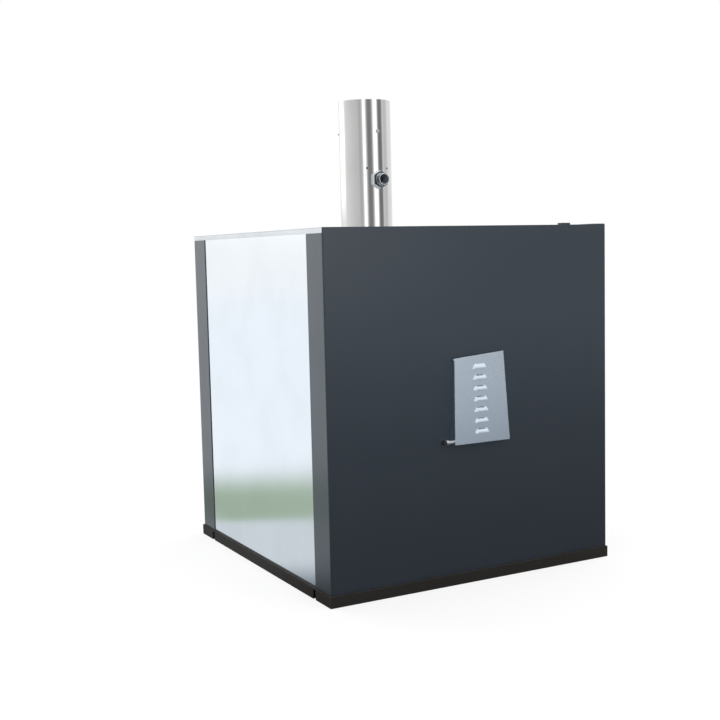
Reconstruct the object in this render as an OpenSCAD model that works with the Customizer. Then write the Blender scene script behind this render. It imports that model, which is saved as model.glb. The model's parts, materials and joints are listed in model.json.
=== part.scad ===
// Wood-fired bake oven: a square insulated casing with a firebox below, a
// baking chamber above it and a flue pipe on the roof.
// Millimetres. +Z is up, -Y is the front with the doors, +Y is the polished
// back and -X is the side with the louvred vent flap. The origin is the middle
// of the base's underside.

/* [Casing] */
// Width of the casing over both side panels
body_w = 894; // [880:1:940]
// Depth of the casing from front to back
body_d = 881; // [860:1:940]
// Height of the casing above the base
body_h = 915; // [880:1:980]
// Thickness of the casing sheets
sheet_t = 2; // [1.5:0.5:3]
// Outside radius of the folded sheet edges
fold_r = 4; // [3.5:0.5:6]
// Width of the painted strips beside the polished back panel
strip_w = 90; // [60:1:120]
// Width of the side panels' return behind the front panel
front_return_w = 24; // [15:1:30]
// Height of the roof sheet's rear edge
roof_drop = 14; // [10:1:25]
// Depth of the front panel's flange over the roof
top_flange_d = 40; // [20:1:60]

/* [Base] */
// Height of the base tray
base_h = 30; // [28:1:50]
// How far the base stands proud of the casing
base_ledge = 4; // [2:1:12]
// Thickness of the base steel
base_t = 3; // [2:0.5:5]
// Width of the base's top rim
base_rim_w = 46; // [44:1:70]
// Width of each notch in the rear of the base
notch_w = 15; // [8:1:20]
// Height of each notch
notch_h = 26; // [12:1:27]

/* [Frame] */
// Leg of the angle steel in the inner frame
angle_w = 40; // [30:1:44]
// Thickness of the angle steel
angle_t = 4; // [3:0.5:6]
// Width of each cradle tube under the hot box
cradle_w = 60; // [40:1:80]
// Height of the hot box above the base's floor
cradle_h = 97; // [80:1:110]
// Distance from the middle to each cradle tube
cradle_x = 200; // [140:1:260]
// Thickness of the mineral wool below the roof's air gap
roof_air_gap = 18; // [8:1:24]
// Air gap between each side panel and the wool
side_air_gap = 20; // [10:1:30]

/* [Hot box] */
// Width of the steel hot box
jacket_w = 690; // [670:1:740]
// Distance from the hot box to the back's face
rear_wall_d = 91; // [80:1:110]
// Thickness of the hot box sheet
jacket_t = 3; // [2:0.5:5]
// Distance from the front panel's face to the hot box
front_wall_d = 60; // [50:1:66]
// Height of the gas passage above the heat-store slabs
crown_gap = 47; // [30:1:60]
// Depth of the wool above the hot box
roof_wool_t = 76; // [66:1:90]

/* [Firebox] */
// Clear width of the firebox
fire_w = 360; // [330:1:400]
// Firebox's share of the height of the two chambers
fire_share = 0.444; // [0.41:0.002:0.47]
// Gas gap behind the firebox's rear wall
fire_gas_gap = 44; // [30:1:80]
// Thickness of the firebrick walls
brick_t = 50; // [40:1:60]
// Thickness of the firebrick floor
floor_t = 43; // [36:1:60]
// Joint between two bricks
brick_joint = 1; // [0.5:0.5:2]
// Height of the rear brick wall below the gas slot
rear_brick_h = 165; // [120:1:200]
// Width of the fire door's opening
fire_open_w = 280; // [220:1:300]
// Height of the fire door's opening
fire_open_h = 150; // [120:1:165]
// Height of the fire opening's sill above the brick floor
fire_sill = 25; // [15:1:40]
// Width of the grate
grate_w = 200; // [160:1:240]
// Length of the grate
grate_l = 320; // [240:1:360]
// Thickness of the grate
grate_t = 15; // [10:1:20]
// Width of one grate bar
grate_bar_w = 12; // [9:1:16]
// Gap between two grate bars
grate_gap_w = 10; // [6:1:12]

/* [Ash drawer] */
// Inside height of the ash drawer's housing
ash_h = 78; // [60:1:84]
// Inside width of the ash drawer's housing
ash_w = 262; // [220:1:280]
// Length of the ash drawer
ash_l = 520; // [430:1:560]
// Sheet of the drawer and its housing
ash_t = 2.5; // [1.5:0.5:3]
// Gap between the drawer and its housing at each side
ash_side_gap = 4; // [1:0.5:6]

/* [Baking chamber] */
// Width of the baking chamber over its walls
muffle_w = 580; // [560:1:610]
// Gas gap behind the baking chamber
muffle_gas_gap = 64; // [44:1:110]
// Thickness of the baking chamber's steel
muffle_t = 5; // [3:0.5:6]
// Thickness of the fireclay hearth slabs
slab_t = 30; // [20:1:40]
// Thickness of the heat-store slabs on the chamber
store_t = 30; // [20:1:35]
// Width of the baking opening
bake_open_w = 480; // [420:1:500]
// Height of the baking opening
bake_open_h = 200; // [170:1:215]

/* [Doors] */
// Thickness of the throat walls
throat_t = 5; // [3:0.5:6]
// Width of the throat's rim on the front panel
rim_w = 25; // [22:1:30]
// Thickness of the throat's rim
rim_t = 4; // [3:0.5:5]
// Gap between the rim and the closed door's back
door_gap = 3.5; // [2.5:0.5:4]
// Thickness of a door's box
door_d = 40; // [34:1:46]
// Thickness of a door's sheet
door_sheet_t = 2.5; // [2:0.5:3]
// Gap between a door's plug and the throat
plug_gap = 15; // [13:1:20]
// Depth of a door's plug behind the door's back
plug_d = 33; // [26:1:36]
// Diameter of the sealing rope
rope_dia = 8; // [6:0.5:9]
// Radius of a door hinge pin
pin_r = 5; // [4:0.5:6]
// Radius of a hinge knuckle
knuckle_r = 10; // [9:0.5:11]
// Distance from a door's edge to its hinge axis
hinge_out = 20; // [18:0.5:24]
// Height of a door's knuckle
knuckle_h = 30; // [20:1:40]
// Thickness of each hinge lug
lug_t = 6; // [4:0.5:8]
// Running clearance of a pin in its bore
run_gap = 0.06; // [0.02:0.01:0.1]
// Clearance between faces that slide past each other
slide_gap = 0.5; // [0.3:0.1:1]

/* [Latches] */
// Radius of a latch spindle
spindle_r = 7; // [5:0.5:8]
// Length of a latch lever from its spindle
lever_l = 128; // [110:1:140]
// Radius of the wooden grip at its middle
grip_r = 13; // [11:0.5:16]
// Length of the wooden grip
grip_l = 96; // [70:1:100]

/* [Air rosette] */
// Radius of the air rosette
rosette_r = 52; // [44:1:56]
// Number of windows in the rosette
rosette_count = 6; // [4:1:8]
// Thickness of the rosette
rosette_t = 3; // [2:0.5:4]

/* [Thermometer] */
// Radius of the thermometer's case
dial_r = 42; // [34:1:48]
// Depth of the thermometer's case
dial_d = 18; // [14:1:24]

/* [Damper] */
// Width of the damper plate
gate_w = 176; // [168:1:190]
// Thickness of the damper plate
gate_t = 4; // [3:0.5:5]
// Radius of the damper rod
rod_r = 5; // [4:0.5:6]
// Travel of the damper
gate_travel = 165; // [160:1:175]

/* [Flue pipe] */
// Outside diameter of the flue pipe
pipe_dia = 150; // [130:1:156]
// Wall of the flue pipe
pipe_t = 2; // [1:0.5:3]
// Height of the flue pipe above the roof
pipe_h = 369; // [320:1:500]
// Distance of the flue pipe behind the middle
pipe_y = 70; // [60:1:80]
// Height of the side port above the roof
port_h = 143; // [100:1:180]
// Across-corners size of the port's hexagon
port_hex = 51; // [46:0.5:58]
// Outside radius of the port's socket
port_r = 16.8; // [15.8:0.1:18]
// Bore radius of the port
port_bore_r = 14.5; // [12:0.5:15]
// Distance of the hexagon's face from the pipe
port_hex_out = 15; // [12:0.5:24]
// Distance of the socket's end from the pipe
port_out = 34; // [28:0.5:44]
// Height of the three screws above the roof
screw_h = 280; // [230:1:300]

/* [Vent] */
// Height of the vent flap's lower edge above the base
vent_z = 347; // [250:1:420]
// Width of the flap at its lower edge
flap_low_w = 173; // [165:1:190]
// Width of the flap at its upper edge
flap_top_w = 155; // [150:1:165]
// Height of the flap at its shorter, rear side
flap_h = 225; // [215:1:240]
// Extra height of the flap at its front side
flap_rise = 12; // [0:1:13]
// Thickness of the flap
flap_t = 1.5; // [1:0.5:2]
// How far the resting flap's lower edge stands off the panel
flap_out = 22; // [18:1:28]
// Number of louvres
louvre_count = 7; // [5:1:7]
// Distance between two louvres
louvre_pitch = 28.3; // [26:0.1:29]
// Width of a louvre
louvre_w = 44; // [36:1:60]
// Radius of a louvre's curve
louvre_r = 15; // [12:0.5:16]
// How far a louvre bulges from the flap
louvre_out = 7; // [5:0.5:8]
// Radius of the stay pin
stay_r = 5.5; // [4:0.5:6]
// Radius of the stay pin's head
stay_head_r = 7.5; // [6.5:0.5:9]
// How far the stay pin sticks out of the rear cheek
stay_out = 25; // [18:1:30]

/* [Roof clips] */
// Length of a roof clip
clip_l = 30; // [24:1:60]
// Thickness of a roof clip
clip_t = 5; // [3:0.5:6]
// Distance of the clips in front of the middle
clip_y = 303; // [200:1:330]

/* [Hidden] */
$fn = 64;
eps = 0.01;
cut = 1;

half_w = body_w / 2;
half_d = body_d / 2;
top_z = base_h + body_h;
roof_under = top_z - sheet_t;
strip_top = top_z - roof_drop;
in_w = half_w - sheet_t;
back_y = half_d - sheet_t;
liner_y = back_y - sheet_t;

wool_x = in_w - side_air_gap;
wool_y = liner_y - 2 * angle_t;
wool_top = roof_under - roof_air_gap;

jacket_x = jacket_w / 2;
jacket_y0 = -half_d + front_wall_d;
jacket_y1 = half_d - rear_wall_d;
jacket_d = jacket_y1 - jacket_y0;
jacket_z0 = base_t + cradle_h;
ash_z0 = jacket_z0 + jacket_t;
ash_z1 = ash_z0 + ash_h + 2 * ash_t;
fire_z0 = ash_z1 + floor_t;
jacket_z1 = wool_top - roof_wool_t;
muffle_z1 = jacket_z1 - jacket_t - crown_gap - store_t;
muffle_z0 = fire_z0 + round(fire_share * (muffle_z1 - fire_z0));
muffle_y0 = jacket_y0 + jacket_t;
muffle_y1 = jacket_y1 - jacket_t - muffle_gas_gap;
fire_y0 = muffle_y0 + brick_t;
fire_y1 = jacket_y1 - jacket_t - fire_gas_gap - brick_t;
grate_y0 = fire_y0 + 80;
grate_y1 = grate_y0 + grate_l;
grate_seat = 15;
wall_bricks = 3;
mat_seam = 0.3;
weld_gap = 0.2;
fold_in = fold_r - sheet_t;

ash_face_y = -half_d - slide_gap;
ash_face_d = 12;
ash_lip = 15;
ash_rear_y = ash_face_y + ash_l + 15;
ash_handle_out = 35;
handle_post_r = 4;
handle_r = 5;
runner_x = ash_w / 2 - 30;
runner_w = 12;
runner_t = 3;
tub_z0 = ash_z0 + ash_t + runner_t + slide_gap;
tub_z1 = ash_z1 - ash_t - 8;

bake_sill_z = muffle_z0 + muffle_t + slab_t;
bake_mid_z = bake_sill_z + bake_open_h / 2;
fire_sill_z = fire_z0 + fire_sill;
fire_mid_z = fire_sill_z + fire_open_h / 2;

rim_y = -half_d - rim_t;
door_back = rim_y - door_gap;
door_front = door_back - door_d;
plug_y = door_back + plug_d;
hinge_y = (door_back + door_front) / 2;
plug_plate_t = 8;
rope_gap = 0.3;
rope_side_gap = 1;
rope_bend = 7;
groove_d = rope_dia + rope_gap - door_gap;
strap_t = 8;
knuckle_in = 20;

function door_half_w(open_w) = open_w / 2 + rim_w;
function hinge_x(open_w) = -door_half_w(open_w) - hinge_out;

cam_t = 6;
cam_gap = 4;
cam_w = 14;
cam_y = plug_y + cam_gap;
strike_t = 8;
strike_w = 9;
strike_gap = 1;
strike_h = 24;
cam_l = 33;
boss_r = 16;
boss_t = 12;
lever_t = 10;
lever_w = 16;
lever_y = door_front - boss_t - lever_t;
tang_x0 = 26;
tang_r = 4;
tip_r = 7;
grip_gap = 2;

dial_lip = 2;
dial_wall = 2;
dial_floor = 3;
dial_plate_t = 1;
glass_t = 2;
stem_r = 4.3;
stem_out = 10;
pointer_r = 1;
needle_t = 0.8;
needle_gap = 2;
needle_l = 30;
needle_rest = 225;

function latch_x(open_w) = open_w / 2 - cam_l - 2;

rosette_x = -34;
rosette_hub_r = 9;
rosette_hub_t = 2;
rivet_r = 4;
tab_r = 3.5;
tab_l = 12;
window_r0 = 17;
window_r1 = rosette_r - 8;
air_hole_r = window_r1 + 2;
window_angle = 180 / rosette_count - 2;

rod_tube_r = rod_r + 4;
rod_gap = 0.3;
rod_in = 12;
gate_wall = rod_tube_r - gate_t / 2;
gate_z = jacket_z1 + gate_wall + slide_gap;
gate_box_h = gate_t + 2 * slide_gap + 2 * gate_wall;
gate_half = gate_w / 2;
gate_y0 = pipe_y - gate_half;
gate_box_x = gate_half + slide_gap + gate_wall;
gate_box_y0 = pipe_y - gate_box_x - gate_travel - 3;
gate_box_y1 = pipe_y + gate_box_x;
rod_z = gate_z + gate_t / 2;
knob_gap = 8;
knob_l = 34;
knob_end = 6;
flue_r = pipe_dia / 2 - pipe_t;
socket_z0 = jacket_z1 + gate_box_h;
socket_t = 3;
pipe_fit = 0.3;
socket_r = pipe_dia / 2 + pipe_fit;
collar_w = 34;
collar_t = 3;
pipe_top = top_z + pipe_h;
port_z = top_z + port_h;
screw_r = 2.2;
screw_head_r = 5;
screw_head_t = 2.5;

flap_z = base_h + vent_z;
flap_y = -6;
flap_over = 4;
flap_hinge_h = flap_h - flap_over;
flap_hinge_out = 5;
flap_hinge_x = -half_w - flap_hinge_out;
flap_hinge_z = flap_z + flap_hinge_h;
flap_stand = 3.5;
flap_lean = asin((flap_out - flap_hinge_out - flap_stand - flap_t) / flap_hinge_h);
flap_gap = 0.4;
function flap_inner(z) = flap_hinge_out + flap_stand / cos(flap_lean) + (flap_hinge_z - z) * tan(flap_lean);
cheek_t = 2;
cheek_inset = 1;
cheek_lean = atan((flap_low_w - flap_top_w) / 2 / flap_h);
cheek_y = flap_low_w / 2 - cheek_inset;
cheek_h = flap_hinge_h / cos(cheek_lean);
cheek_low = 3;
function cheek_at(v) = cheek_y - v * tan(cheek_lean);
vent_plate_in = 8;
ear_t = 1.5;
ear_r = 3.4;
ear_y = flap_top_w / 2 - 7;
vent_pin_r = 2;
vent_open_w = 96;
vent_open_h = 150;
vent_open_z = flap_z + 36;
vent_ring_t = 1.2;
louvre_first = 25;
louvre_taper = 7;
louvre_draft = 25;
louvre_back = louvre_r - louvre_out;
louvre_rise = sqrt(louvre_r * louvre_r - louvre_back * louvre_back);
stay_h = 7.5;
stay_z = flap_z + stay_h;
stay_head_t = 8;
stay_rim = 1.2;
stay_x = -half_w - (flap_inner(stay_z) - flap_gap - stay_rim - stay_r);

clip_w = 16;
leaf_out = 8;
leaf_in = 4;
pin_tail = 2;
pin_head_r = pin_r + 3;
pin_head_t = 3;
thread_d = 0.8;
thread_neck = 2;

// A box between two corners
module block(low, high) {
    translate(low) cube(high - low);
}

// A box that is centred on X
module wide_block(w, y0, y1, z0, z1) {
    block([-w / 2, y0, z0], [w / 2, y1, z1]);
}

// A cylinder along +Y from y0 to y1 at x and z
module y_rod(r, x, z, y0, y1) {
    translate([x, y0, z]) rotate([-90, 0, 0]) cylinder(r = r, h = y1 - y0);
}

// A cylinder along +Z
module z_rod(r, x, y, z0, z1) {
    translate([x, y, z0]) cylinder(r = r, h = z1 - z0);
}

// A quarter ring in the first quadrant, the section of a folded edge
module fold(r, t) {
    intersection() {
        difference() {
            circle(r);
            circle(r - t);
        }
        square(r + cut);
    }
}

// Painted side panel: outer sheet, rear strip and front return, folded from one sheet
module side_profile() {
    translate([in_w, -back_y]) square([sheet_t, back_y + half_d - fold_r]);
    translate([half_w - strip_w, back_y]) square([strip_w - fold_r, sheet_t]);
    translate([half_w - fold_r, half_d - fold_r]) fold(fold_r, sheet_t);
    translate([half_w - front_return_w, -back_y]) square([front_return_w - sheet_t, sheet_t]);
}

module side_panel() {
    difference() {
        translate([0, 0, base_h]) linear_extrude(body_h) side_profile();
        translate([0, back_y - cut, strip_top])
            cube([half_w - sheet_t, sheet_t + 2 * cut, roof_drop + cut]);
        translate([0, -back_y - cut, roof_under]) cube([in_w, sheet_t + 2 * cut, sheet_t + cut]);
    }
}

// Section of a sheet's folded front edge in Y and Z, swept along X
module x_sweep(w) {
    translate([-w / 2, 0, 0]) rotate([90, 0, 90]) linear_extrude(w) children();
}

module base_tray() {
    out_x = half_w + base_ledge;
    out_y = half_d + base_ledge;
    notch_x = half_w - strip_w;
    color("#2b2724") difference() {
        block([-out_x, -out_y, 0], [out_x, out_y, base_h]);
        block([base_t - out_x, base_t - out_y, base_t], [out_x - base_t, out_y - base_t, base_h - base_t]);
        block([base_rim_w - out_x, base_rim_w - out_y, base_t],
            [out_x - base_rim_w, out_y - base_rim_w, base_h + cut]);
        for (side = [-1, 1])
            translate([side * notch_x - notch_w / 2, out_y - 4 * base_t, -cut])
                cube([notch_w, 4 * base_t + cut, notch_h + cut]);
    }
}

module left_side_panel() {
    color("#34383e") difference() {
        mirror([1, 0, 0]) side_panel();
        block([-half_w - cut, flap_y - vent_open_w / 2, vent_open_z],
            [-in_w + cut, flap_y + vent_open_w / 2, vent_open_z + vent_open_h]);
    }
}

module right_side_panel() {
    color("#34383e") side_panel();
}

module back_panel() {
    color("#e4e8ec")
        block([fold_in - in_w, liner_y, base_h], [in_w - fold_in, back_y, roof_under - fold_in]);
}

// Roof sheet with its folded rear edge over the back
module roof_profile() {
    translate([fold_r - half_d, roof_under]) square([2 * (half_d - fold_r), sheet_t]);
    translate([half_d - fold_r, top_z - fold_r]) fold(fold_r, sheet_t);
    translate([back_y, strip_top]) square([sheet_t, roof_drop - fold_r]);
}

module roof_sheet() {
    color("#c9ccd0") difference() {
        x_sweep(2 * in_w) roof_profile();
        z_rod(socket_r + socket_t + cut, 0, pipe_y, roof_under - cut, top_z + cut);
    }
}

// Front panel with its flange over the roof
module front_profile() {
    translate([-half_d, base_h]) square([sheet_t, body_h + sheet_t - fold_r]);
    translate([fold_r - half_d, top_z + sheet_t - fold_r]) mirror([1, 0]) fold(fold_r, sheet_t);
    translate([fold_r - half_d, top_z]) square([top_flange_d - fold_r, sheet_t]);
}

module throat_hole(open_w, open_h, sill_z, gap) {
    wide_block(open_w + 2 * (throat_t + gap), -half_d - cut, jacket_y0 + jacket_t + cut,
        sill_z - throat_t - gap, sill_z + open_h + throat_t + gap);
}

module front_panel() {
    color("#34383e") difference() {
        x_sweep(body_w) front_profile();
        throat_hole(bake_open_w, bake_open_h, bake_sill_z, slide_gap);
        throat_hole(fire_open_w, fire_open_h, fire_sill_z, slide_gap);
        wide_block(ash_w + 2 * ash_t, -half_d - cut, -back_y + cut, ash_z0, ash_z1);
        y_rod(rod_tube_r, 0, rod_z, -half_d - cut, -back_y + cut);
    }
}

// Angle steel with its corner at the origin and its legs along +X and +Y
module angle_profile() {
    square([angle_w, angle_t]);
    square([angle_t, angle_w]);
}

module frame_posts() {
    color("#4a4e52")
        for (sx = [-1, 1], sy = [-1, 1])
            translate([sx * in_w, sy * liner_y, base_h])
                linear_extrude(roof_under - base_h)
                    scale_sign(-sx, -sy) angle_profile();
}

// Mirrors a profile where a sign is negative
module scale_sign(sx, sy) {
    mirror([sx < 0 ? 1 : 0, 0]) mirror([0, sy < 0 ? 1 : 0]) children();
}

module frame_top_rails() {
    rail_y = liner_y - angle_t;
    rail_x = in_w - angle_t;
    color("#4a4e52") {
        for (sy = [-1, 1])
            x_sweep(2 * rail_x) translate([sy * rail_y, roof_under]) scale_sign(-sy, -1) angle_profile();
        for (sx = [-1, 1])
            translate([sx * rail_x, rail_y - angle_w, roof_under]) rotate([90, 0, 0])
                linear_extrude(2 * (rail_y - angle_w)) scale_sign(-sx, -1) angle_profile();
    }
}

module cradle_tubes() {
    color("#4a4e52")
        for (sx = [-1, 1])
            translate([sx * cradle_x, jacket_y1, base_t]) rotate([90, 0, 0]) linear_extrude(jacket_d)
                difference() {
                    translate([-cradle_w / 2, 0]) square([cradle_w, cradle_h]);
                    translate([angle_t - cradle_w / 2, angle_t])
                        square([cradle_w - 2 * angle_t, cradle_h - 2 * angle_t]);
                }
}

// A wool mat between two corners, cut short of its neighbours by half a seam
module mat(low, high) {
    edge = mat_seam / 2 * [1, 1, 1];
    block(low + edge, high - edge);
}

// Mats behind the front panel: a full row under and over each opening, and a pair beside it
module front_mats() {
    levels = [base_h, ash_z0, ash_z1, fire_sill_z - throat_t, fire_sill_z + fire_open_h + throat_t,
        bake_sill_z - throat_t, bake_sill_z + bake_open_h + throat_t, wool_top];
    beside = [0, ash_w / 2 + ash_t, 0, fire_open_w / 2 + throat_t, 0, bake_open_w / 2 + throat_t, 0];
    for (i = [0 : len(beside) - 1])
        if (beside[i] == 0)
            mat([-jacket_x, -wool_y, levels[i]], [jacket_x, jacket_y0, levels[i + 1]]);
        else
            for (side = [0, 1])
                mirror([side, 0, 0])
                    mat([beside[i], -wool_y, levels[i]], [jacket_x, jacket_y0, levels[i + 1]]);
}

// Mats between the hot box and the roof, round the damper box
module roof_mats() {
    mat([-gate_box_x, jacket_y0, jacket_z1], [gate_box_x, gate_box_y0, wool_top]);
    mat([-gate_box_x, gate_box_y1, jacket_z1], [gate_box_x, jacket_y1, wool_top]);
    for (side = [0, 1])
        mirror([side, 0, 0]) {
            mat([gate_box_x, jacket_y0, jacket_z1], [jacket_x, jacket_y1, wool_top]);
            mat([0, gate_box_y0, socket_z0], [gate_box_x, gate_box_y1, wool_top]);
        }
}

// Mats under the hot box, between and beside the cradle's tubes
module floor_mats() {
    inner_x = cradle_x - cradle_w / 2;
    mat([-inner_x, jacket_y0, base_h], [inner_x, jacket_y1, jacket_z0]);
    for (side = [0, 1])
        mirror([side, 0, 0])
            mat([cradle_x + cradle_w / 2, jacket_y0, base_h], [jacket_x, jacket_y1, jacket_z0]);
}

module mineral_wool() {
    color("#c2b280") difference() {
        union() {
            for (side = [0, 1])
                mirror([side, 0, 0]) mat([jacket_x, -wool_y, base_h], [wool_x, wool_y, wool_top]);
            mat([-jacket_x, jacket_y1, base_h], [jacket_x, wool_y, wool_top]);
            front_mats();
            roof_mats();
            floor_mats();
        }
        y_rod(rod_tube_r, 0, rod_z, -half_d, gate_box_y0 + cut);
        wide_block(2 * rod_tube_r, jacket_y0, gate_box_y0 + cut, jacket_z1, rod_z);
        z_rod(socket_r + socket_t, 0, pipe_y, jacket_z1, wool_top + cut);
    }
}

// Welded box of plates round the fire and the baking chamber
module steel_hot_box() {
    plate_z0 = ash_z0 + weld_gap;
    plate_z1 = jacket_z1 - jacket_t - weld_gap;
    plate_x = jacket_x - jacket_t - weld_gap;
    color("#5b5e61") {
        block([-jacket_x, jacket_y0, jacket_z0], [jacket_x, jacket_y1, ash_z0]);
        difference() {
            block([-jacket_x, jacket_y0, jacket_z1 - jacket_t], [jacket_x, jacket_y1, jacket_z1]);
            z_rod(flue_r, 0, pipe_y, jacket_z1 - jacket_t - cut, jacket_z1 + cut);
        }
        for (side = [0, 1])
            mirror([side, 0, 0])
                block([jacket_x - jacket_t, jacket_y0, plate_z0], [jacket_x, jacket_y1, plate_z1]);
        block([-plate_x, jacket_y1 - jacket_t, plate_z0], [plate_x, jacket_y1, plate_z1]);
        difference() {
            block([-plate_x, jacket_y0, plate_z0], [plate_x, muffle_y0, plate_z1]);
            throat_hole(bake_open_w, bake_open_h, bake_sill_z, 0);
            throat_hole(fire_open_w, fire_open_h, fire_sill_z, 0);
            wide_block(ash_w + 2 * ash_t, jacket_y0 - cut, muffle_y0 + cut, ash_z0, ash_z1);
        }
    }
}

// Blocks beside and behind the ash drawer's housing
module base_blocks() {
    in_x = jacket_x - jacket_t;
    side_x = ash_w / 2 + ash_t;
    rear_y = ash_rear_y;
    color("#b98f68") {
        for (sx = [-1, 1])
            mirror([sx < 0 ? 1 : 0, 0, 0])
                block([side_x, muffle_y0, ash_z0], [in_x, jacket_y1 - jacket_t, ash_z1]);
        block([-side_x, rear_y, ash_z0], [side_x, jacket_y1 - jacket_t, ash_z1]);
    }
}

module grate_shaft(z0, z1) {
    wide_block(grate_w - 2 * grate_seat, grate_y0 + grate_seat, grate_y1 - grate_seat, z0, z1);
}

module firebrick_floor() {
    in_x = jacket_x - jacket_t;
    color("#c49a6c") difference() {
        block([-in_x, muffle_y0, ash_z1], [in_x, jacket_y1 - jacket_t, fire_z0]);
        wide_block(grate_w + 2 * brick_joint, grate_y0 - brick_joint, grate_y1 + brick_joint,
            fire_z0 - grate_t, fire_z0 + cut);
        grate_shaft(ash_z1 - cut, fire_z0);
        for (y = [grate_y0 - brick_t / 2, grate_y1 + brick_t / 2])
            wide_block(2 * jacket_x, y, y + brick_joint, ash_z1 - cut, fire_z0 + cut);
    }
}

module firebrick_walls() {
    wall_x = fire_w / 2 + brick_t;
    brick_l = (fire_y1 - fire_y0) / wall_bricks;
    color("#c9a177") {
        for (sx = [0, 1], i = [0 : wall_bricks - 1])
            mirror([sx, 0, 0])
                block([fire_w / 2, fire_y0 + i * brick_l, fire_z0],
                    [wall_x, fire_y0 + (i + 1) * brick_l - brick_joint, muffle_z0]);
        wide_block(2 * wall_x, fire_y1, fire_y1 + brick_t, fire_z0, fire_z0 + rear_brick_h);
        difference() {
            wide_block(2 * wall_x, muffle_y0, fire_y0 - brick_joint, fire_z0, muffle_z0);
            wide_block(fire_open_w + 2 * throat_t, muffle_y0 - cut, fire_y0 + cut,
                fire_sill_z - throat_t, fire_sill_z + fire_open_h + throat_t);
        }
    }
}

// Cast grate with a row of tapered slots between its bars
module fire_grate() {
    pitch = grate_bar_w + grate_gap_w;
    slots = floor((grate_w - 2 * grate_bar_w) / pitch);
    slot_l = (grate_l - 3 * grate_seat) / 2;
    color("#3b3a39") difference() {
        wide_block(grate_w, grate_y0, grate_y1, fire_z0 - grate_t, fire_z0);
        for (i = [0 : slots - 1], y0 = [grate_y0 + grate_seat, grate_y0 + 2 * grate_seat + slot_l])
            translate([(i - (slots - 1) / 2) * pitch, y0 + slot_l, fire_z0])
                rotate([90, 0, 0]) linear_extrude(slot_l)
                    polygon([[-grate_gap_w / 2, cut], [grate_gap_w / 2, cut],
                        [grate_gap_w / 2 + 1, -grate_t - cut], [-grate_gap_w / 2 - 1, -grate_t - cut]]);
    }
}

// Sheet housing that the ash drawer slides in, with two runner strips on its floor
module ash_housing() {
    out_x = ash_w / 2 + ash_t;
    color("#6a6d70") difference() {
        block([-out_x, -half_d, ash_z0], [out_x, ash_rear_y, ash_z1]);
        difference() {
            block([-ash_w / 2, -half_d - cut, ash_z0 + ash_t],
                [ash_w / 2, ash_rear_y - ash_t, ash_z1 - ash_t]);
            for (sx = [-1, 1])
                translate([sx * runner_x - runner_w / 2, -half_d, ash_z0])
                    cube([runner_w, ash_rear_y + half_d, ash_t + runner_t]);
        }
        grate_shaft(ash_z1 - 2 * ash_t, ash_z1 + cut);
    }
}

module ash_drawer_tub() {
    tub_x = ash_w / 2 - ash_side_gap;
    color("#7a7d80") difference() {
        block([-tub_x, ash_face_y, tub_z0], [tub_x, ash_face_y + ash_l, tub_z1]);
        block([ash_t - tub_x, ash_face_y + ash_t, tub_z0 + ash_t],
            [tub_x - ash_t, ash_face_y + ash_l - ash_t, tub_z1 + cut]);
    }
}

module ash_drawer_front() {
    color("#b7babd") translate([0, 0, ash_z0 - ash_lip])
        folded_pan(2 * (ash_w / 2 + ash_t + ash_lip), ash_z1 - ash_z0 + 2 * ash_lip,
            ash_face_y - ash_face_d, ash_face_y);
}

// A bar between two round posts
module ash_drawer_handle() {
    post_x = ash_w / 4;
    bar_y = ash_face_y - ash_face_d - ash_handle_out;
    z = (ash_z0 + ash_z1) / 2;
    color("#c9ccd0") {
        for (sx = [-1, 1])
            y_rod(handle_post_r, sx * post_x, z, bar_y, ash_face_y - ash_face_d);
        translate([-post_x - 2 * handle_r, bar_y, z]) rotate([0, 90, 0])
            cylinder(r = handle_r, h = 2 * post_x + 4 * handle_r);
        for (sx = [-1, 1])
            translate([sx * (post_x + 2 * handle_r), bar_y, z]) sphere(handle_r);
    }
}

// A closed box whose front edges are folded round, standing on z = 0
module folded_pan(w, h, y0, y1) {
    intersection() {
        linear_extrude(h) folded_section(w, y0, y1);
        translate([-w / 2, 0, h / 2]) rotate([0, 90, 0]) linear_extrude(w) folded_section(h, y0, y1);
    }
}

module folded_section(w, y0, y1) {
    translate([-w / 2, y0 + fold_r]) square([w, y1 - y0 - fold_r]);
    translate([fold_r - w / 2, y0]) square([w - 2 * fold_r, y1 - y0]);
    for (sx = [-1, 1])
        translate([sx * (w / 2 - fold_r), y0 + fold_r]) circle(fold_r);
}

module baking_chamber() {
    half = muffle_w / 2;
    color("#8b8f92") difference() {
        block([-half, muffle_y0, muffle_z0], [half, muffle_y1, muffle_z1]);
        block([muffle_t - half, muffle_y0 + muffle_t, muffle_z0 + muffle_t],
            [half - muffle_t, muffle_y1 - muffle_t, muffle_z1 - muffle_t]);
        wide_block(bake_open_w, muffle_y0 - cut, muffle_y0 + muffle_t + cut,
            bake_sill_z, bake_sill_z + bake_open_h);
    }
}

// Equal slabs in rows and columns with a joint round each
module slab_field(w, y0, y1, z0, t, columns, rows) {
    slab_w = w / columns;
    slab_l = (y1 - y0) / rows;
    for (i = [0 : columns - 1], j = [0 : rows - 1])
        translate([i * slab_w - w / 2 + brick_joint / 2, y0 + j * slab_l + brick_joint / 2, z0])
            cube([slab_w - brick_joint, slab_l - brick_joint, t]);
}

module hearth_slabs() {
    color("#d2b48c")
        slab_field(muffle_w - 2 * muffle_t, muffle_y0 + muffle_t, muffle_y1 - muffle_t,
            muffle_z0 + muffle_t, slab_t, 2, 2);
}

module heat_store_slabs() {
    color("#c9a177") slab_field(muffle_w, muffle_y0, muffle_y1, muffle_z1, store_t, 2, 3);
}

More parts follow.
